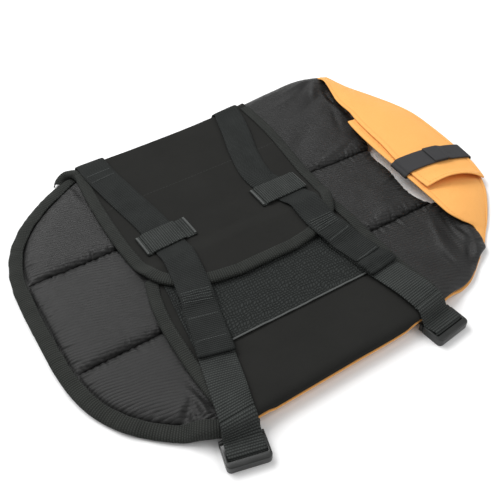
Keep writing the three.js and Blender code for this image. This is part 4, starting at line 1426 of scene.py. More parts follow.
    def build(self) -> None:
        """Makes every piece of the back."""
        outline = (
            lambda v: PATTERN.near(v) + self.pad_inset,
            PATTERN.seam_near,
            PATTERN.seam_far,
            lambda v: PATTERN.far(v) - self.pad_inset,
        )
        channels = (("near", 0, (True, False)), ("centre", 1, (False, False)), ("far", 2, (False, True)))
        for name, n, open_side in channels:
            sheet = self.lining("lining_" + name, outline[n], outline[n + 1], open_side, 100 + 7 * n)
            made = sheet.build(LINING, "lining_taffeta")
            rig.replaces(made, "pad_" + name)
            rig.padded(made, 0.75)
        tape = self.tail_binding()
        tape_made = tape.build(EDGE_TAPE, "binding_tape")
        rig.replaces(tape_made, "tail_binding")
        end = self.tape_end().build(EDGE_TAPE, "binding_tape")
        seam = on_face(tape.face, np.arange(len(tape.face)), np.full(len(tape.face), 1.0))
        thread = Stitching("tail_binding_stitches").sew([seam], DARK_THREAD, "binding_tape")
        shell = self.shell()
        shell_made = shell.build(NYLON, "shell_nylon")
        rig.replaces(shell_made, "shell")
        declare(shell, shell_made, Hold.LAID, ["studio_floor"], [tape_made, end, thread])


@dataclass
class BellyFlap:
    """A neoprene belly flap that rises beside the pad and turns over it to its free edge, with its tape."""

    name: str
    edges: Sequence[tuple[float, float, float]]
    side: Callable
    direction: int
    free_edge: float
    under: Callable
    wall_inset: float = 1.2
    fold_reach: float = 6.0
    tape: float = 9.0

    def left(self, y: Array | float) -> Array:
        """Tail-side edge of the flap."""
        return curve([(row[0], row[1]) for row in self.edges], y)

    def right(self, y: Array | float) -> Array:
        """Neck-side edge of the flap."""
        return curve([(row[0], row[2]) for row in self.edges], y)

    def span(self, y: Array | float, share: Array) -> Array:
        """Points across the flap at shares of its width."""
        return mix(self.left(y), self.right(y), share)

    def edge_y(self, x: Array | float) -> Array:
        """Side line of the flap's wall."""
        return self.side(x) - self.direction * self.wall_inset

    def grid(self) -> Array:
        """Inner face of the flap, from its foot to its free edge.

        Returns:
            The grid, rows from foot to free edge.
        """
        even = np.linspace(0, 1, 64)
        u = mix(even, 0.5 - 0.5 * np.cos(np.pi * even), 0.6)
        x = self.span(self.side(self.span(self.side(0), u)), u)
        side = self.side(x)
        foot = PATTERN.shell_under(x, side) + SHELL_CLOTH + 2 * GAP + 0.25 * PATTERN.buckle_lift(x, side)
        turned = self.under(x, self.edge_y(x) - self.direction * self.fold_reach)
        start = mix(foot, turned, 0.35)
        rows = [np.stack([x, self.edge_y(x), mix(foot, start, k)], axis=1) for k in np.linspace(0, 1, 5)]
        for angle in np.linspace(0, math.pi / 2, 10)[1:]:
            y = self.edge_y(x) - self.direction * self.fold_reach * (1 - math.cos(angle))
            rows.append(np.stack([x, y, start + (turned - start) * math.sin(angle)], axis=1))
        fold = float(self.edge_y(0) - self.direction * self.fold_reach)
        first = self.edge_y(x) - self.direction * self.fold_reach
        count = int(abs(self.free_edge - fold) / 2.0)
        for share in np.linspace(0, 1, count)[1:]:
            y = mix(fold, self.free_edge, share) + (first - fold) * (1 - share) ** 2
            x_now = self.span(y, u)
            rows.append(np.stack([x_now, y, self.under(x_now, y)], axis=1))
        grid = np.array(rows)
        return grid if self.direction > 0 else grid[:, ::-1]

    def sheet(self) -> Sheet:
        """The flap itself."""
        return Sheet.laid("flap_" + self.name, self.grid(), NEOPRENE)

    def rim_side(self, edge: Callable) -> Array:
        """Plan points down one side of the flap.

        Args:
            edge: line of that side, from y.

        Returns:
            The points, from the fold to the free edge.
        """
        start = self.side(edge(self.side(0)))
        start = start - self.direction * (self.wall_inset + self.fold_reach + 6)
        y = mix(start, self.free_edge, 1 - (1 - np.linspace(0, 1, 90)) ** 1.6)
        return np.stack([edge(y), y, np.zeros(len(y))], axis=1)

    def rim(self) -> Array:
        """Plan points down one side, along the free edge and up the other, its outer side on the left.

        Returns:
            The points, 2 mm apart.
        """
        left, right = self.rim_side(self.left), self.rim_side(self.right)[::-1]
        across = np.linspace(left[-1], right[0], 60)[1:-1]
        path = resample(np.vstack([left, across, right]), 2.0)
        return path[::-1] if self.direction > 0 else path

    def binding(self) -> Sheet:
        """Tape folded round the flap's free edges.

        Returns:
            The tape.
        """
        path = self.rim()
        run = np.gradient(path, axis=0)
        size = np.hypot(run[:, 0], run[:, 1])
        out_x, out_y = -run[:, 1] / size, run[:, 0] / size
        along = np.concatenate([[0], np.cumsum(np.hypot(np.diff(path[:, 0]), np.diff(path[:, 1])))])
        section = [
            (-self.tape, 1.0), (-7.2, 1.0), (-5, 1.0), (-2.5, 1.0), (-0.6, 1.0), (0.5, 0.86), (1.1, 0.62),
            (1.1, 0.36), (0.5, 0.12), (-0.5, 0.0), (-4.5, 0.0), (-self.tape, 0.0),
        ]
        grid = np.empty((len(path), len(section), 3))
        for k, (out, level) in enumerate(section):
            px, py = path[:, 0] + out_x * out, path[:, 1] + out_y * out
            under = self.under(px, py)
            top = under + NEOPRENE + 0.3 + 0.2 * PATTERN.pressed_lift(px, py)
            swell = 0.3 * math.sin(math.pi * min(-out / self.tape, 1)) if level == 1.0 and out < 0 else 0.0
            gather = 0.16 * hills(along, out * 0.3, 5.0, 81) if level > 0.5 else 0.0
            grid[:, k] = np.stack([px, py, mix(under - 0.45, top, level) + swell + gather], axis=1)
        return Sheet.laid("flap_" + self.name + "_tape", grid, TAPE)

    def build(
        self, rests_on: Sequence[str], extra: Callable[[Sheet], list] = lambda _: []
    ) -> bpy.types.Object:
        """Makes the flap, its tape and the tape's stitching.

        Args:
            rests_on: names of what the flap lies on.
            extra: makes more pieces sewn on the flap, from its sheet.

        Returns:
            The flap.
        """
        sheet, tape = self.sheet(), self.binding()
        made = sheet.build(RUBBER, "flap_neoprene")
        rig.replaces(made, "belly_flap_" + self.name)
        tape_made = tape.build(EDGE_TAPE, "binding_tape")
        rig.replaces(tape_made, "belly_flap_" + self.name + "_binding")
        rows = np.arange(len(tape.face))
        seam = on_face(tape.face, rows, np.full(len(rows), 0.9))
        thread = Stitching("flap_" + self.name + "_stitches").sew([seam], DARK_THREAD, "binding_tape")
        declare(sheet, made, Hold.FOLDED, rests_on, [tape_made, thread, *extra(sheet)])
        return made


def far_under(x: Array, y: Array) -> Array:
    """Underside of the far flap, which steps over the near one."""
    share = 1 - smooth(np.asarray(y) / 20)
    return mix(FLAP_UNDER, OVERLAP_UNDER, share) + PATTERN.settle(x, y)


def near_under(x: Array, y: Array) -> Array:
    """Underside of the near flap."""
    return FLAP_UNDER + PATTERN.pressed_lift(x, y) + PATTERN.settle(x, y)


@dataclass
class Flaps:
    """Both belly flaps, the seam across the far one and the hook-and-loop patch on the near one."""

    far_edges: Sequence[tuple[float, float, float]] = (
        (180, -101, 109), (123, -107, 110), (55, -109, 104), (12, -106, 101), (-5, -101, 95),
        (-18, -92, 87), (-29, -77, 73), (-37, -56, 52), (-41, -32, 30),
    )
    near_edges: Sequence[tuple[float, float, float]] = (
        (0, -104, 98), (-25, -112, 101), (-60, -117, 101),
        (-110, -118, 102), (-145, -117, 104), (-175, -114, 105),
    )
    patch_left: Table = ((-99, -106), (-17, -95))
    patch_right: Table = ((-99, 66), (-17, 60))
    seam_y: float = 101.0

    def far_seam(self, sheet: Sheet) -> list:
        """Seam that joins the two parts of the far flap: a sunk line with stitches.

        Args:
            sheet: the far flap.

        Returns:
            The stitching, in a list.
        """
        middle = sheet.face[:, sheet.face.shape[1] // 2]
        row = float(np.interp(-self.seam_y, -middle[:, 1], np.arange(len(middle))))
        columns = np.linspace(2, sheet.face.shape[1] - 3, 60)
        line = on_face(sheet.face, np.full(60, row), columns, -0.1)
        seam = Stitching("far_flap_seam", length=3.0, pitch=3.6, thick=0.55)
        return [seam.sew([line], DARK_THREAD, "flap_neoprene")]

    def patch(self) -> Sheet:
        """Loop patch sewn on the near flap.

        Returns:
            The patch.
        """
        y = np.linspace(-99, -17, 84)
        u = np.linspace(0, 1, 170)
        yy, uu = np.meshgrid(y, u, indexing="xy")
        x = mix(curve(self.patch_left, yy), curve(self.patch_right, yy), uu)
        relief = 0.25 * hills(x, yy, 9, 91) + 0.15 * hills(x, yy, 4, 92)
        z = FLAP_TOP + GAP + PATTERN.pressed_lift(x, yy) + PATTERN.settle(x, yy) + 0.1
        base = np.stack([x, yy, z], axis=2)
        face = base + np.array([0, 0, 1.0]) + np.stack([0 * x, 0 * x, relief], axis=2)
        return Sheet("loop_patch", face, base)

    def patch_trims(self, sheet: Sheet) -> list:
        """Pale selvedge along the patch's near edge and the stitches round it.

        Args:
            sheet: the patch.

        Returns:
            The selvedge and the stitching.
        """
        rows, cols = sheet.face.shape[:2]
        i = np.linspace(0, rows - 1, 80)
        line, up = on_face(sheet.face, i, np.full(80, 0.0), 0.25)
        selvedge = []
        for across in np.linspace(-0.55, 0.55, 7):
            round_up = 0.4 * math.sqrt(max(0.0, 1 - (across / 0.6) ** 2))
            selvedge.append(line + np.array([0, across, 0]) + up * round_up)
        inner = np.stack(selvedge, axis=1)
        edge = Sheet.laid("loop_patch_selvedge", inner - np.array([0, 0, 0.5]), 0.5)
        made = edge.build(LIGHT_EDGE, "loop_pile")
        runs = [on_face(sheet.face, i, np.full(80, 3.0)), on_face(sheet.face, i, np.full(80, cols - 4.0)),
                on_face(sheet.face, np.full(40, 4.0), np.linspace(3, cols - 4, 40)),
                on_face(sheet.face, np.full(40, rows - 5.0), np.linspace(3, cols - 4, 40))]
        return [made, Stitching("loop_patch_stitches").sew(runs, DARK_THREAD, "loop_pile")]

    def build(self) -> None:
        """Makes both flaps and the patch."""
        far = BellyFlap(
            "far", self.far_edges, side=PATTERN.far, direction=1, free_edge=-41.3, under=far_under
        )
        near = BellyFlap(
            "near", self.near_edges, side=PATTERN.near, direction=-1, free_edge=-3.7, under=near_under
        )
        near.build(["lining_near", "lining_centre"])
        sheet = self.patch()
        made = sheet.build(LOOPS, "loop_pile")
        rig.replaces(made, "hook_and_loop_patch")
        declare(sheet, made, Hold.LAID, ["flap_near"], self.patch_trims(sheet))
        far.build(["lining_far", "lining_centre", "flap_near"], self.far_seam)


UPPER_LEVELS: Table = (
    (130, FLAP_TOP + FLAP_TAPE + GAP), (100, FLAP_TOP + GAP), (24, FLAP_TOP + GAP),
    (2, OVERLAP_TOP + FLAP_TAPE + GAP), (-46, OVERLAP_TOP + FLAP_TAPE + GAP),
    (-62, FLAP_TOP + FLAP_TAPE + WEBBING + 2 * GAP),
)

LOWER_LEVEL = FLAP_TOP + FLAP_TAPE + GAP


def stepped(levels: Table, y: Array) -> Array:
    """Height from a table of levels in falling y, eased from one to the next.

    Args:
        levels: pairs of y and height.
        y: where to read them.

    Returns:
        The height at each y.
    """
    y = np.asarray(y, dtype=float)
    height = np.full_like(y, levels[0][1])
    for (y0, z0), (y1, z1) in zip(levels, levels[1:]):
        height = np.where(y <= y0, mix(z0, z1, smooth((y0 - y) / (y0 - y1))), height)
    return height


@dataclass
class Strap:
    """One webbing strap: its run over the flaps, its keeper, its sewn end and the webbing into the buckle."""

    side: Side
    end: float
    ribs: tuple[float, float]
    threads: tuple[float, ...]
    keeper: tuple[float, float, float, float]
    cover: tuple[float, float] | None = None
    rib_pitch: float = 2.6
    end_bump: float = 0.4
    columns: int = 13

    def lift(self, x: Array, y: Array) -> Array:
        """Greatest lift by a buckle under the width of the strap, and the lie of the flaps."""
        parts = [PATTERN.pressed_lift(x + k * STRAP_WIDTH / 2, y) for k in (-1, 0, 1)]
        return 1.25 * np.maximum.reduce(parts) + PATTERN.settle(x, y)

    def upper_height(self, x: Array, y: Array) -> Array:
        """Height of the upper strap's inner face where it lies on the flaps."""
        return stepped(UPPER_LEVELS, y) + self.lift(x, y) + 0.15

    def lower_height(self, x: Array, y: Array) -> Array:
        """Height of the lower webbing's inner face where it lies on the near flap."""
        return LOWER_LEVEL + self.lift(x, y) + 0.1

    def across_edge(self, side_line: Callable, x: float) -> Array:
        """Direction of a side edge in plan, across the strap.

        Args:
            side_line: the edge's y, from x.
            x: where the strap crosses it.

        Returns:
            A unit vector.
        """
        reach = STRAP_WIDTH / 2
        run = np.array([2 * reach, float(side_line(x + reach) - side_line(x - reach)), 0.0])
        return run / np.linalg.norm(run)

    def ribbon(self, stations: Array, height: Callable, seed: int) -> Array:
        """Grid of a ribbon's inner face.

        Args:
            stations: centre, across direction and a flag of 1 where it lies on cloth.
            height: height of the cloth under it, from x and y.
            seed: which small unevenness.

        Returns:
            The grid, rows along the ribbon.
        """
        k = np.linspace(-STRAP_WIDTH / 2, STRAP_WIDTH / 2, self.columns)
        across = stations[:, 3:6] / np.linalg.norm(stations[:, 3:6], axis=1, keepdims=True)
        grid = stations[:, None, :3] + across[:, None, :] * k[None, :, None]
        laid = smooth(stations[:, 6])[:, None]
        grid[..., 2] = mix(grid[..., 2], height(grid[..., 0], grid[..., 1]), laid)
        along = np.arange(len(stations))[:, None] * 1.0
        grid[..., 2] += 0.12 * hills(along, k[None, :], 13, seed) * laid
        return grid

    def upper_grid(self) -> Array:
        """Inner face of the run from the far edge over the flaps to its sewn end.

        Returns:
            The grid, rows along the strap.
        """
        x0 = float(PATTERN.strap_x(self.side, PATTERN.far(0)))
        across = self.across_edge(PATTERN.far, x0)
        outer = float(PATTERN.far(x0)) + 1.8 + 0.4
        turn_y = outer - 9.3
        level = float(stepped(UPPER_LEVELS, np.array(turn_y))) + 0.2
        rows = [(x0, outer, 5.0 * k, *across, 0) for k in (0, 0.5, 1)]
        for k in np.linspace(0, 1, 7)[1:-1]:
            angle = math.pi / 2 * k
            rows.append((x0, turn_y + 9.3 * math.cos(angle), 5 + (level - 5) * math.sin(angle), *across, 0))
        for n, y in enumerate(np.linspace(turn_y, self.end, 60)):
            x = float(PATTERN.strap_x(self.side, y)) if n else x0
            slope = float(PATTERN.strap_x(self.side, y + 1) - PATTERN.strap_x(self.side, y - 1)) / 2
            flat = np.array([1.0, -slope, 0]) / math.hypot(1, slope)
            turned = flat + (across - flat) * max(1 - n / 7, 0)
            rows.append((x, y, level, *turned, min(n / 3, 1)))
        stations = resample(np.array(rows, dtype=float), 0.7)
        return self.ribbon(stations, self.upper_height, 31 if self.side is Side.LEFT else 32)

    def upper(self) -> Sheet:
        """Upper strap with its bar tacks and folded end.

        Returns:
            The strap.
        """
        grid = self.upper_grid()
        y = grid[..., 1]
        k = np.linspace(-1, 1, self.columns)[None, :]
        thickness = WEBBING * (1 - 0.22 * np.abs(k) ** 6) + 0 * y
        fold = smooth((self.end + 18.5 - y) / 2.2)
        thickness = thickness + fold * (WEBBING + 0.1 + 0.5 * hills(y, k * 8 + 0 * y, 7, 41))
        dent = 1 - 0.9 * np.exp(-(((k + 0.15) / 0.28) ** 2))
        thickness = thickness + self.end_bump * dent * np.exp(-(((y - self.end - 9) / 6) ** 2))
        start, stop = self.ribs
        inside = smooth((start - y) / 1.0) * smooth((y - stop) / 1.0)
        ribs = 0.5 + 0.5 * np.cos(2 * np.pi * (start - y) / self.rib_pitch)
        thickness = thickness + inside * 0.5 * ribs * smooth((0.93 - np.abs(k)) / 0.1)
        return Sheet.laid("strap_upper_" + self.side.value, grid, thickness)

    def cover_piece(self, sheet: Sheet) -> Sheet | None:
        """Second layer of webbing sewn over part of the upper strap.

        Args:
            sheet: the upper strap.

        Returns:
            The layer, or None where the strap has none.
        """
        if self.cover is None:
            return None
        start, stop = self.cover
        middle = sheet.face[:, self.columns // 2, 1]
        rows = np.where((middle <= start) & (middle >= stop))[0]
        face = sheet.face[rows] + normals(sheet.face)[rows] * 0.12
        return Sheet.laid("strap_cover_" + self.side.value, face, 0.9)

    def keeper_sheet(self) -> Sheet:
        """Short webbing loop that holds the strap down, its ends folded under and tacked.

        Returns:
            The keeper.
        """
        start, stop, y0, turn = self.keeper
        edges = [float(PATTERN.strap_x(self.side, y0 + k * 13)) for k in (-1, 0, 1)]
        left, right = min(edges) - STRAP_WIDTH / 2 - 0.6, max(edges) + STRAP_WIDTH / 2 + 0.6
        x = np.linspace(start, stop, 110)
        k = np.linspace(-13, 13, 27)
        away = np.maximum(left - x, x - right) / 3
        rise = (WEBBING + GAP + 0.25) * (1 - smooth(away))
        angle = math.radians(turn)
        grid = np.empty((len(x), len(k), 3))
        grid[..., 0] = x[:, None] - math.sin(angle) * k[None, :]
        grid[..., 1] = y0 + math.tan(angle) * (x[:, None] - (left + right) / 2) + math.cos(angle) * k[None, :]
        grid[..., 2] = FLAP_TOP + GAP + rise[:, None] + PATTERN.settle(grid[..., 0], grid[..., 1]) + 0.15
        ends = np.minimum(x - start, stop - x)
        lip = 0.5 * smooth((5 - ends) / 1.5)
        thickness = (1.3 + lip)[:, None] * (1 - 0.18 * np.abs(k / 13)[None, :] ** 6)
        return Sheet.laid("keeper_" + self.side.value, grid, thickness)

    def keeper_tacks(self, sheet: Sheet) -> bpy.types.Object:
        """Tacks across both ends of the keeper.

        Args:
            sheet: the keeper.

        Returns:
            The tacks.
        """
        rows, cols = sheet.face.shape[:2]
        over = np.linspace(0.5, cols - 1.5, 20)
        runs = [on_face(sheet.face, np.full(20, i), over, 0.35) for i in (2.2, rows - 3.2)]
        name = "keeper_tacks_" + self.side.value
        tacks = Stitching(name, length=2.6, pitch=0.75, thick=1.3, across=True)
        return tacks.sew(runs, LIGHT_EDGE, "strap_webbing")

    def lower_sheet(self) -> Sheet:
        """Ribbed webbing from under the upper strap, over the near edge and down into the buckle.

        Returns:
            The webbing.
        """
        seat = PATTERN.buckles[self.side]
        edge = float(PATTERN.near(seat.x))
        base = LOWER_LEVEL
        rows = []
        along, across = self.across_edge(PATTERN.near, float(PATTERN.strap_x(self.side, edge))), seat.across()
        for y in np.linspace(-52, edge + 8, 26):
            x = float(PATTERN.strap_x(self.side, y))
            slope = float(PATTERN.strap_x(self.side, y + 1) - PATTERN.strap_x(self.side, y - 1)) / 2
            flat = np.array([1.0, -slope, 0]) / math.hypot(1, slope)
            turned = mix(along, flat, smooth((y - edge - 8) / 40))
            rows.append((x, y, base, *turned, 1))
        last = rows[-1]
        high = base + float(self.lift(np.array(last[0]), np.array(last[1])))
        low = PATTERN.buckle_thickness + GAP
        drops = ((-4, 0.03), (-1, 0.1), (1.5, 0.3), (3.8, 0.6), (6.3, 0.87), (9.5, 1.0))
        for n, (out, drop) in enumerate(drops):
            y = edge - out
            turned = along + (across - along) * n / 5
            rows.append((float(PATTERN.strap_x(self.side, y)), y, mix(high, low, drop), *turned, 0))
        for inward, z in ((11, low), (9.6, low - 0.1), (8.3, low - 1.2), (7.8, low - 3), (7.8, 2.4)):
            rows.append((*seat.axis(inward), z, *across, 0))
        stations = resample(np.array(rows, dtype=float), 1.0)
        grid = self.ribbon(stations, self.lower_height, 35 if self.side is Side.LEFT else 36)
        k = np.linspace(-1, 1, self.columns)[None, :]
        thickness = WEBBING * (1 - 0.22 * np.abs(k) ** 6) + 0 * grid[..., 0]
        return Sheet.laid("strap_lower_" + self.side.value, grid, thickness)

    def under_sheet(self) -> Sheet:
        """The strap's run along the outside of the back to the buckle's other half.

        Returns:
            The webbing.
        """
        seat = PATTERN.buckles[self.side]
        inner_y = seat.axis(PATTERN.buckle_length)[1]
        x0 = float(PATTERN.strap_x(self.side, PATTERN.far(0)))
        start_y = float(PATTERN.far(x0)) + 1.8 + 0.1
        start, stop = self.across_edge(PATTERN.far, x0), seat.across()
        rows = []
        for share in np.linspace(0, 1, 20):
            y = mix(start_y, inner_y, share)
            rows.append((float(PATTERN.under_strap_x(self.side, y)), y, 0.0, *mix(start, stop, share), 0))
        slot = PATTERN.buckle_length - 9
        for inward, z in ((slot + 3.6, 0.0), (slot + 2.2, 0.3), (slot + 1.2, 1.6), (slot + 1.2, 6.0)):
            rows.append((*seat.axis(inward), z, *stop, 0))
        stations = resample(np.array(rows, dtype=float), 1.5)
        stations[:, 2] = np.maximum(stations[:, 2], 0)
        grid = self.ribbon(stations, lambda x, y: 0 * x, 37)
        return Sheet.laid("strap_under_" + self.side.value, grid, WEBBING)

    def build(self) -> None:
        name = self.side.value
        upper, lower = self.upper(), self.lower_sheet()
        under, keeper = self.under_sheet(), self.keeper_sheet()
        upper_made = upper.build(FLAT_WEB, "strap_webbing")
        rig.replaces(upper_made, "strap_" + name)
        trims = []
        cover = self.cover_piece(upper)
        if cover:
            trims.append(cover.build(FLAT_WEB, "strap_webbing"))
        middle = upper.face[:, self.columns // 2, 1]
        start, stop = self.ribs
        lines = [(y, 1.05 if cover else 0.15) for y in self.threads]
        lines += [(y, 0.1) for y in np.arange(start - self.rib_pitch, stop, -self.rib_pitch)]
        runs = []
        for y, lift in lines:
            row = float(np.interp(-y, -middle, np.arange(len(middle))))
            runs.append(on_face(upper.face, np.full(16, row), np.linspace(0.7, self.columns - 1.7, 16), lift))
        threads = Stitching("strap_threads_" + name, length=1.9, pitch=2.0, thick=0.55)
        trims.append(threads.sew(runs, PALE_THREAD, "strap_webbing"))
        declare(upper, upper_made, Hold.LAID, ["flap_far"], trims)
        lower_made = lower.build(RIB_WEB, "strap_webbing")
        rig.replaces(lower_made, "buckle_webbing_" + name)
        declare(lower, lower_made, Hold.LAID, ["flap_near"])
        under_made = under.build(FLAT_WEB, "strap_webbing")
        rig.replaces(under_made, "under_strap_" + name)
        declare(under, under_made, Hold.LAID, ["studio_floor"])
        keeper_made = keeper.build(RIB_WEB, "strap_webbing")
        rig.replaces(keeper_made, "keeper_loop_" + name)
        declare(keeper, keeper_made, Hold.FOLDED, ["flap_far"], [self.keeper_tacks(keeper)])


@dataclass
class Buckle:
    """A fastened side-release buckle: its outer half modelled anew, its inner half as packed."""

    side: Side
    corner: float = 4.0
    slot_inset: float = 2.3
    slot: tuple[float, float] = (6.0, 11.0)
    bevel: float = 0.9

    def select_faces(self, made: bpy.types.Object, test: Callable[[bpy.types.MeshPolygon], bool]) -> None:
        """Selects the faces of an object that pass a test and leaves it in edit mode.

        Args:
            made: the object.
            test: whether a face is to be selected.
        """
        bpy.ops.object.mode_set(mode="OBJECT")
        for polygon in made.data.polygons:
            polygon.select = test(polygon)
        for edge in made.data.edges:
            edge.select = False
        for vertex in made.data.vertices:
            vertex.select = False
        for polygon in made.data.polygons:
            if polygon.select:
                for index in polygon.vertices:
                    made.data.vertices[index].select = True
        bpy.ops.object.mode_set(mode="EDIT")
        bpy.ops.mesh.select_mode(type="FACE")

    def plug(self) -> bpy.types.Object:
        """Models the outer half: a rounded block, a slot through it and soft edges.

        Returns:
            The outer half.
        """
        sizes = (PATTERN.buckle_width, PATTERN.plug_length, PATTERN.buckle_thickness)
        width, length, depth = (v / 1000 for v in sizes)
        bpy.ops.object.select_all(action="DESELECT")
        bpy.ops.mesh.primitive_cube_add(size=1, location=(0, 0, 0))
        made = bpy.context.object
        made.name = "buckle_front_" + self.side.value
        made.data.name = made.name
        bpy.ops.object.mode_set(mode="EDIT")
        bpy.ops.mesh.select_all(action="SELECT")
        bpy.ops.transform.resize(value=(width, length, depth), center_override=(0, 0, 0))
        bpy.ops.transform.translate(value=(0, length / 2, depth / 2))
        bpy.ops.mesh.select_mode(type="EDGE")
        bpy.ops.object.mode_set(mode="OBJECT")
        points = made.data.vertices
        for vertex in points:
            vertex.select = False
        for polygon in made.data.polygons:
            polygon.select = False
        for edge in made.data.edges:
            a, b = (points[i].co for i in edge.vertices)
            edge.select = abs(a.z - b.z) > depth / 2 and a.y < length / 2
        bpy.ops.object.mode_set(mode="EDIT")
        bpy.ops.mesh.bevel(offset=self.corner / 1000, segments=5, affect="EDGES")
        self.select_faces(made, lambda polygon: abs(polygon.normal.z) > 0.9)
        bpy.ops.mesh.inset(thickness=self.slot_inset / 1000, use_even_offset=True)
        low, high = (v / 1000 for v in self.slot)
        spread = (high - low) / (length - 2 * self.slot_inset / 1000)
        bpy.ops.transform.resize(value=(1, spread, 1), center_override=(0, length / 2, depth / 2))
        bpy.ops.transform.translate(value=(0, (low + high) / 2 - length / 2, 0))
        bpy.ops.mesh.bridge_edge_loops()
        bpy.ops.mesh.select_all(action="SELECT")
        bpy.ops.mesh.normals_make_consistent(inside=False)
        bpy.ops.object.mode_set(mode="OBJECT")
        soft = made.modifiers.new("soft_edges", "BEVEL")
        soft.width = self.bevel / 1000
        soft.segments = 3
        soft.limit_method = "ANGLE"
        soft.angle_limit = math.radians(40)
        bpy.ops.object.modifier_apply(modifier=soft.name)
        bpy.ops.object.shade_smooth_by_angle(angle=math.radians(40))
        seat = PATTERN.buckles[self.side]
        made.rotation_euler = (0, 0, math.radians(seat.heading))
        made.location = in_row(np.array([seat.x, seat.y, 0.0])).tolist()
        bpy.ops.object.transform_apply(location=True, rotation=True, scale=True)
        return made

    def build(self) -> None:
        """Makes the outer half and dresses the inner one."""
        plug = dress(self.plug(), PLASTIC, "buckle_plastic")
        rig.replaces(plug, "buckle_plug_" + self.side.value)
        socket = frame["nodes"]["buckle_socket_" + self.side.value]
        for slot in socket.material_slots:
            slot.material = PLASTIC.material()


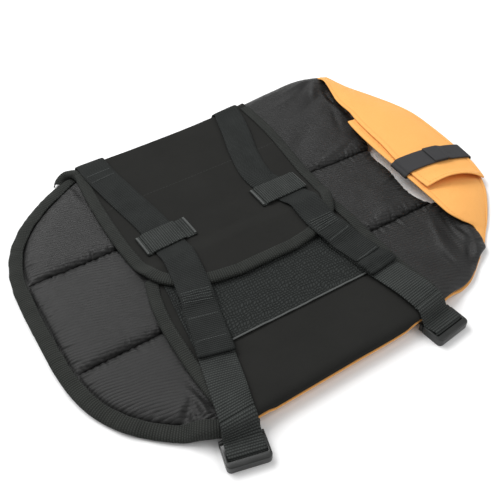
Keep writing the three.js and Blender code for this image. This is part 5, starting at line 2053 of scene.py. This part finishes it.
@dataclass
class ChestBand:
    """The two overlapping band panels round the neck and the strap wound round them."""

    rows: Sequence[tuple[float, ...]] = (
        (216.4, 186, 6, 230, 187, 2.6, 0.5), (213, 168, 14.5, 237, 155, 4, 1.5),
        (203, 138, 17.5, 250, 127, 4, 3), (192, 106, 18.5, 263, 97, 4, 4),
        (185, 78, 18.5, 269, 70, 5, 5), (182, 40, 18.5, 270, 36, 5, 5),
        (181.5, 0, 18.5, 268.5, 2, 5, 5), (181, -36, 18.5, 264, -34, 5, 5),
        (180.5, -61, 18.5, 252, -62, 4.5, 4.5), (181.5, -80, 17, 236, -82, 4, 3.5),
        (188.5, -93.5, 13.6, 217, -101, 3.5, 1.6),
        (197, -104, 8, 205, -111, 3, 0.5), (189.8, -120.2, 5.5, 192.6, -122.3, 3, 0.1),
    )
    panel_gap: float = 0.5
    far_inner: float = 0.1
    tab_inner: float = 0.055
    strap_ends: tuple[float, float] = (6.2, 6.35)
    strap_reach: float = 0.3
    lap: tuple[float, float] = (0.62, 0.42)

    def point(self, row: Array, depth: Array) -> Array:
        """Points of the band's middle surface: row from the far corner, depth from inner to outer edge.

        Args:
            row: place along the band.
            depth: share of the way to its outer edge.

        Returns:
            The points.
        """
        row, depth = np.broadcast_arrays(np.asarray(row, dtype=float), np.asarray(depth, dtype=float))
        at = [curve([(n, values[k]) for n, values in enumerate(self.rows)], row) for k in range(7)]
        arch = at[6] * 4 * depth * (1 - depth)
        x, y, z = (mix(at[k], at[k + 3], depth) for k in range(3))
        return np.stack([x, y, z + arch], axis=-1)

    def offset(self, row: Array, depth: Array, out: Array) -> Array:
        """Points at a distance over the middle surface.

        Args:
            row: place along the band.
            depth: share of the way to its outer edge.
            out: height over the surface.

        Returns:
            The points.
        """
        step = 0.02
        along = self.point(row + step, depth) - self.point(row - step, depth)
        over = self.point(row, depth + step) - self.point(row, depth - step)
        up = np.cross(along, over)
        up /= np.linalg.norm(up, axis=-1, keepdims=True)
        return self.point(row, depth) + up * np.asarray(out)[..., None]

    def far_edge(self, row: Array | float) -> Array:
        """Depth of the far panel's inner edge."""
        band = self.far_inner * smooth((np.asarray(row) - 2.2) / 1.2)
        return mix(band, self.tab_inner, smooth((np.asarray(row) - 5) / 1.1))

    def panel(
        self,
        name: str,
        rows: tuple[float, float, float],
        inner: Callable,
        out: float,
        lift: Callable,
        seed: int,
    ) -> Sheet:
        """One band panel.

        Args:
            name: name of the piece.
            rows: its first row, and its last one at the inner and at the outer edge.
            inner: depth of its inner edge, from the row.
            out: height of its underside over the middle surface.
            lift: extra height, from how far along and across it a point lies.
            seed: which small unevenness.

        Returns:
            The panel.
        """
        along, share = np.meshgrid(np.linspace(0, 1, 190), np.linspace(0, 1, 72), indexing="ij")
        row = mix(rows[0] + 0.02, mix(rows[1], rows[2], share) - 0.02, along)
        depth = mix(inner(row), 0.99, share)
        broad, fine = hills(row * 40, depth * 90, 34, seed), hills(row * 40, depth * 90, 12, seed + 1)
        uneven = 0.5 * broad + 0.15 * fine
        calm = smooth(np.minimum(share, 1 - share) / 0.15)
        grid = self.offset(row, depth, out + np.clip(uneven * calm, -0.1, 1))
        grid[..., 2] += lift(along, share)
        hem = np.minimum(share, 1 - share) * 88
        seam = 0.35 * np.exp(-(((hem - 5.5) / 0.9) ** 2))
        return Sheet.laid(name, grid, BAND_CLOTH - 0.35 + 0.3 * smooth((6.5 - hem) / 1.2) - seam)

    def tab_lift(self, along: Array, share: Array) -> Array:
        """Lift of the far panel's loose tab, most at its end and in its middle."""
        return 7.5 * mix(0.2, 1, 4 * share * (1 - share)) * smooth((along - 0.9) / 0.1) ** 2

    def hem_stitches(self, name: str, sheet: Sheet, ends: bool) -> bpy.types.Object:
        """Stitches along the panel's hems.

        Args:
            name: name of the piece.
            sheet: the panel.
            ends: whether its last end is hemmed too.

        Returns:
            The stitching.
        """
        rows, cols = sheet.face.shape[:2]
        i = np.linspace(2, rows - 3, 160)
        runs = [on_face(sheet.face, i, np.full(160, 4.2)), on_face(sheet.face, i, np.full(160, cols - 5.2))]
        if ends:
            j = np.linspace(4, cols - 5, 50)
            runs.append(on_face(sheet.face, np.full(50, rows - 4.0), j))
        return Stitching(name, length=2.4, pitch=3.2, thick=0.42).sew(runs, ORANGE_THREAD, "shell_nylon")

    def neck_strap(self) -> Sheet:
        """Soft tape wound once round both panels, its end lapping over its start.

        Returns:
            The tape.
        """
        top = 2 * self.panel_gap + BAND_CLOTH + GAP
        below = -BAND_CLOTH - self.panel_gap - GAP
        start, end = self.lap
        inner = float(self.far_edge(self.strap_ends[0]))
        route = [(d, top) for d in np.linspace(start, inner + 0.02, 12)]
        route += [(inner * 0.6, top - 0.5), (0.015, 1.1), (-0.012, 0.1), (-0.018, -1.0)]
        route += [(-0.008, below + 0.2)]
        route += [(d, below) for d in np.linspace(0.03, 0.985, 16)]
        route += [(1.004, below + 0.4), (1.014, -0.8), (1.016, 0.6), (1.01, top - 0.7), (0.985, top)]
        route += [(d, top) for d in np.linspace(0.92, start + 0.08, 5)]
        route += [(d, top + 1.7) for d in np.linspace(start, end, 8)]
        fine = resample(np.array([(d * 88, out, 0) for d, out in route]), 0.8)
        depth, out = fine[:, 0] / 88, fine[:, 1]
        row = mix(self.strap_ends[0], self.strap_ends[1], depth)
        k = np.linspace(-self.strap_reach, self.strap_reach, 15)
        even = 0 * k[None, :]
        grid = self.offset(row[:, None] + k[None, :], depth[:, None] + even, out[:, None] + even)
        return Sheet.laid("neck_tape", grid, 1.4)

    def build(self) -> None:
        """Makes both panels, their hems and the strap."""
        near = self.panel(
            "band_near", (3.7, 12, 12), lambda row: 0 * row, -BAND_CLOTH, lambda along, share: 0 * along, 51
        )
        far = self.panel("band_far", (0, 7.32, 7.68), self.far_edge, self.panel_gap, self.tab_lift, 53)
        for name, sheet, on in (("near", near, ["neck_tape"]), ("far", far, ["band_near"])):
            made = sheet.build(NYLON, "shell_nylon")
            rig.replaces(made, "chest_band_" + name)
            hems = self.hem_stitches("band_" + name + "_stitches", sheet, name == "far")
            declare(sheet, made, Hold.LAID, on, [hems])
        tape = self.neck_strap()
        made = tape.build(NECK_TAPE, "neck_tape")
        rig.replaces(made, "neck_strap")
        declare(tape, made, Hold.FOLDED, ["band_far"])


@dataclass
class Studio:
    """Pale floor, soft lights and the camera of the photographed view."""

    focal: float = 52.135
    distance: float = 0.690
    azimuth: float = -31.99
    elevation: float = 46.476
    target: tuple[float, float, float] = (0.0, -7.45, 0.0)
    sky: float = 0.5
    lights: tuple[tuple[str, tuple[float, float, float], float, float], ...] = (
        ("key", (-0.9, 1.3, 1.9), 1.6, 38),
        ("fill", (1.2, -0.8, 1.6), 1.4, 12),
        ("tail_glow", (-0.05, 1.0, 1.23), 0.7, 9),
    )

    def floor(self) -> None:
        """Plain floor, white where the light is full."""
        bpy.ops.object.select_all(action="DESELECT")
        bpy.ops.mesh.primitive_plane_add(size=14, location=(0, 0, 0))
        floor = bpy.context.object
        floor.name = "studio_floor"
        graph = Graph("studio_floor")
        graph.finish(Base_Color=(0.93, 0.93, 0.93, 1), Roughness=0.9, Specular_IOR_Level=0.1)
        floor.data.materials.append(graph.result)
        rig.stage(floor)

    def light(self, name: str, place: Sequence[float], size: float, power: float) -> None:
        """Adds a soft square light that points at the jacket.

        Args:
            name: name of the light.
            place: where it stands, in metres.
            size: its side, in metres.
            power: its power in watts.
        """
        lamp = bpy.data.lights.new(name, "AREA")
        lamp.size = size
        lamp.energy = power
        made = bpy.data.objects.new(name, lamp)
        made.location = place
        made.rotation_euler = (Vector((0, 0, 0)) - Vector(place)).to_track_quat("-Z", "Y").to_euler()
        bpy.context.scene.collection.objects.link(made)

    def camera(self) -> None:
        """Stands the camera where the photograph was taken."""
        lens = bpy.data.cameras.new("photo_camera")
        lens.lens = self.focal
        lens.sensor_width = 36
        lens.clip_start = 0.01
        made = bpy.data.objects.new("photo_camera", lens)
        turn, rise = math.radians(self.azimuth), math.radians(self.elevation)
        back = Vector((math.sin(turn) * math.cos(rise), -math.cos(turn) * math.cos(rise), math.sin(rise)))
        aim = Vector(in_row(np.array(self.target)).tolist())
        made.location = aim + back * self.distance
        made.rotation_euler = (-back).to_track_quat("-Z", "Y").to_euler()
        bpy.context.scene.collection.objects.link(made)
        bpy.context.scene.camera = made

    def build(self) -> None:
        """Sets up the whole studio."""
        self.floor()
        world = bpy.context.scene.world or bpy.data.worlds.new("studio")
        bpy.context.scene.world = world
        world.use_nodes = True
        world.node_tree.nodes["Background"].inputs[0].default_value = (1, 1, 1, 1)
        world.node_tree.nodes["Background"].inputs[1].default_value = self.sky
        for name, place, size, power in self.lights:
            self.light(name, place, size, power)
        self.camera()
        bpy.context.scene.view_settings.view_transform = "Standard"


def main() -> None:
    """Builds the studio and the jacket, and writes both boxes."""
    logging.basicConfig(level=logging.INFO, format="%(message)s")
    Studio().build()
    BackPanel().build()
    Flaps().build()
    Strap(
        Side.LEFT, end=-106, ribs=(-39, -54), threads=(153, 143, -67, -92), keeper=(-91, -39, 37, 2)
    ).build()
    Strap(
        Side.RIGHT, end=-104, ribs=(-22, -38), threads=(-51, -84), keeper=(35, 86, 37, 1),
        cover=(-39.5, -86), end_bump=2.6,
    ).build()
    for side in Side:
        Buckle(side).build()
    ChestBand().build()
    with open("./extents.json", "w") as out:
        json.dump({"cad": CAD_BOX, "visual": [list(corner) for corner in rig.bounds()]}, out)


if __name__ == "__main__":
    main()
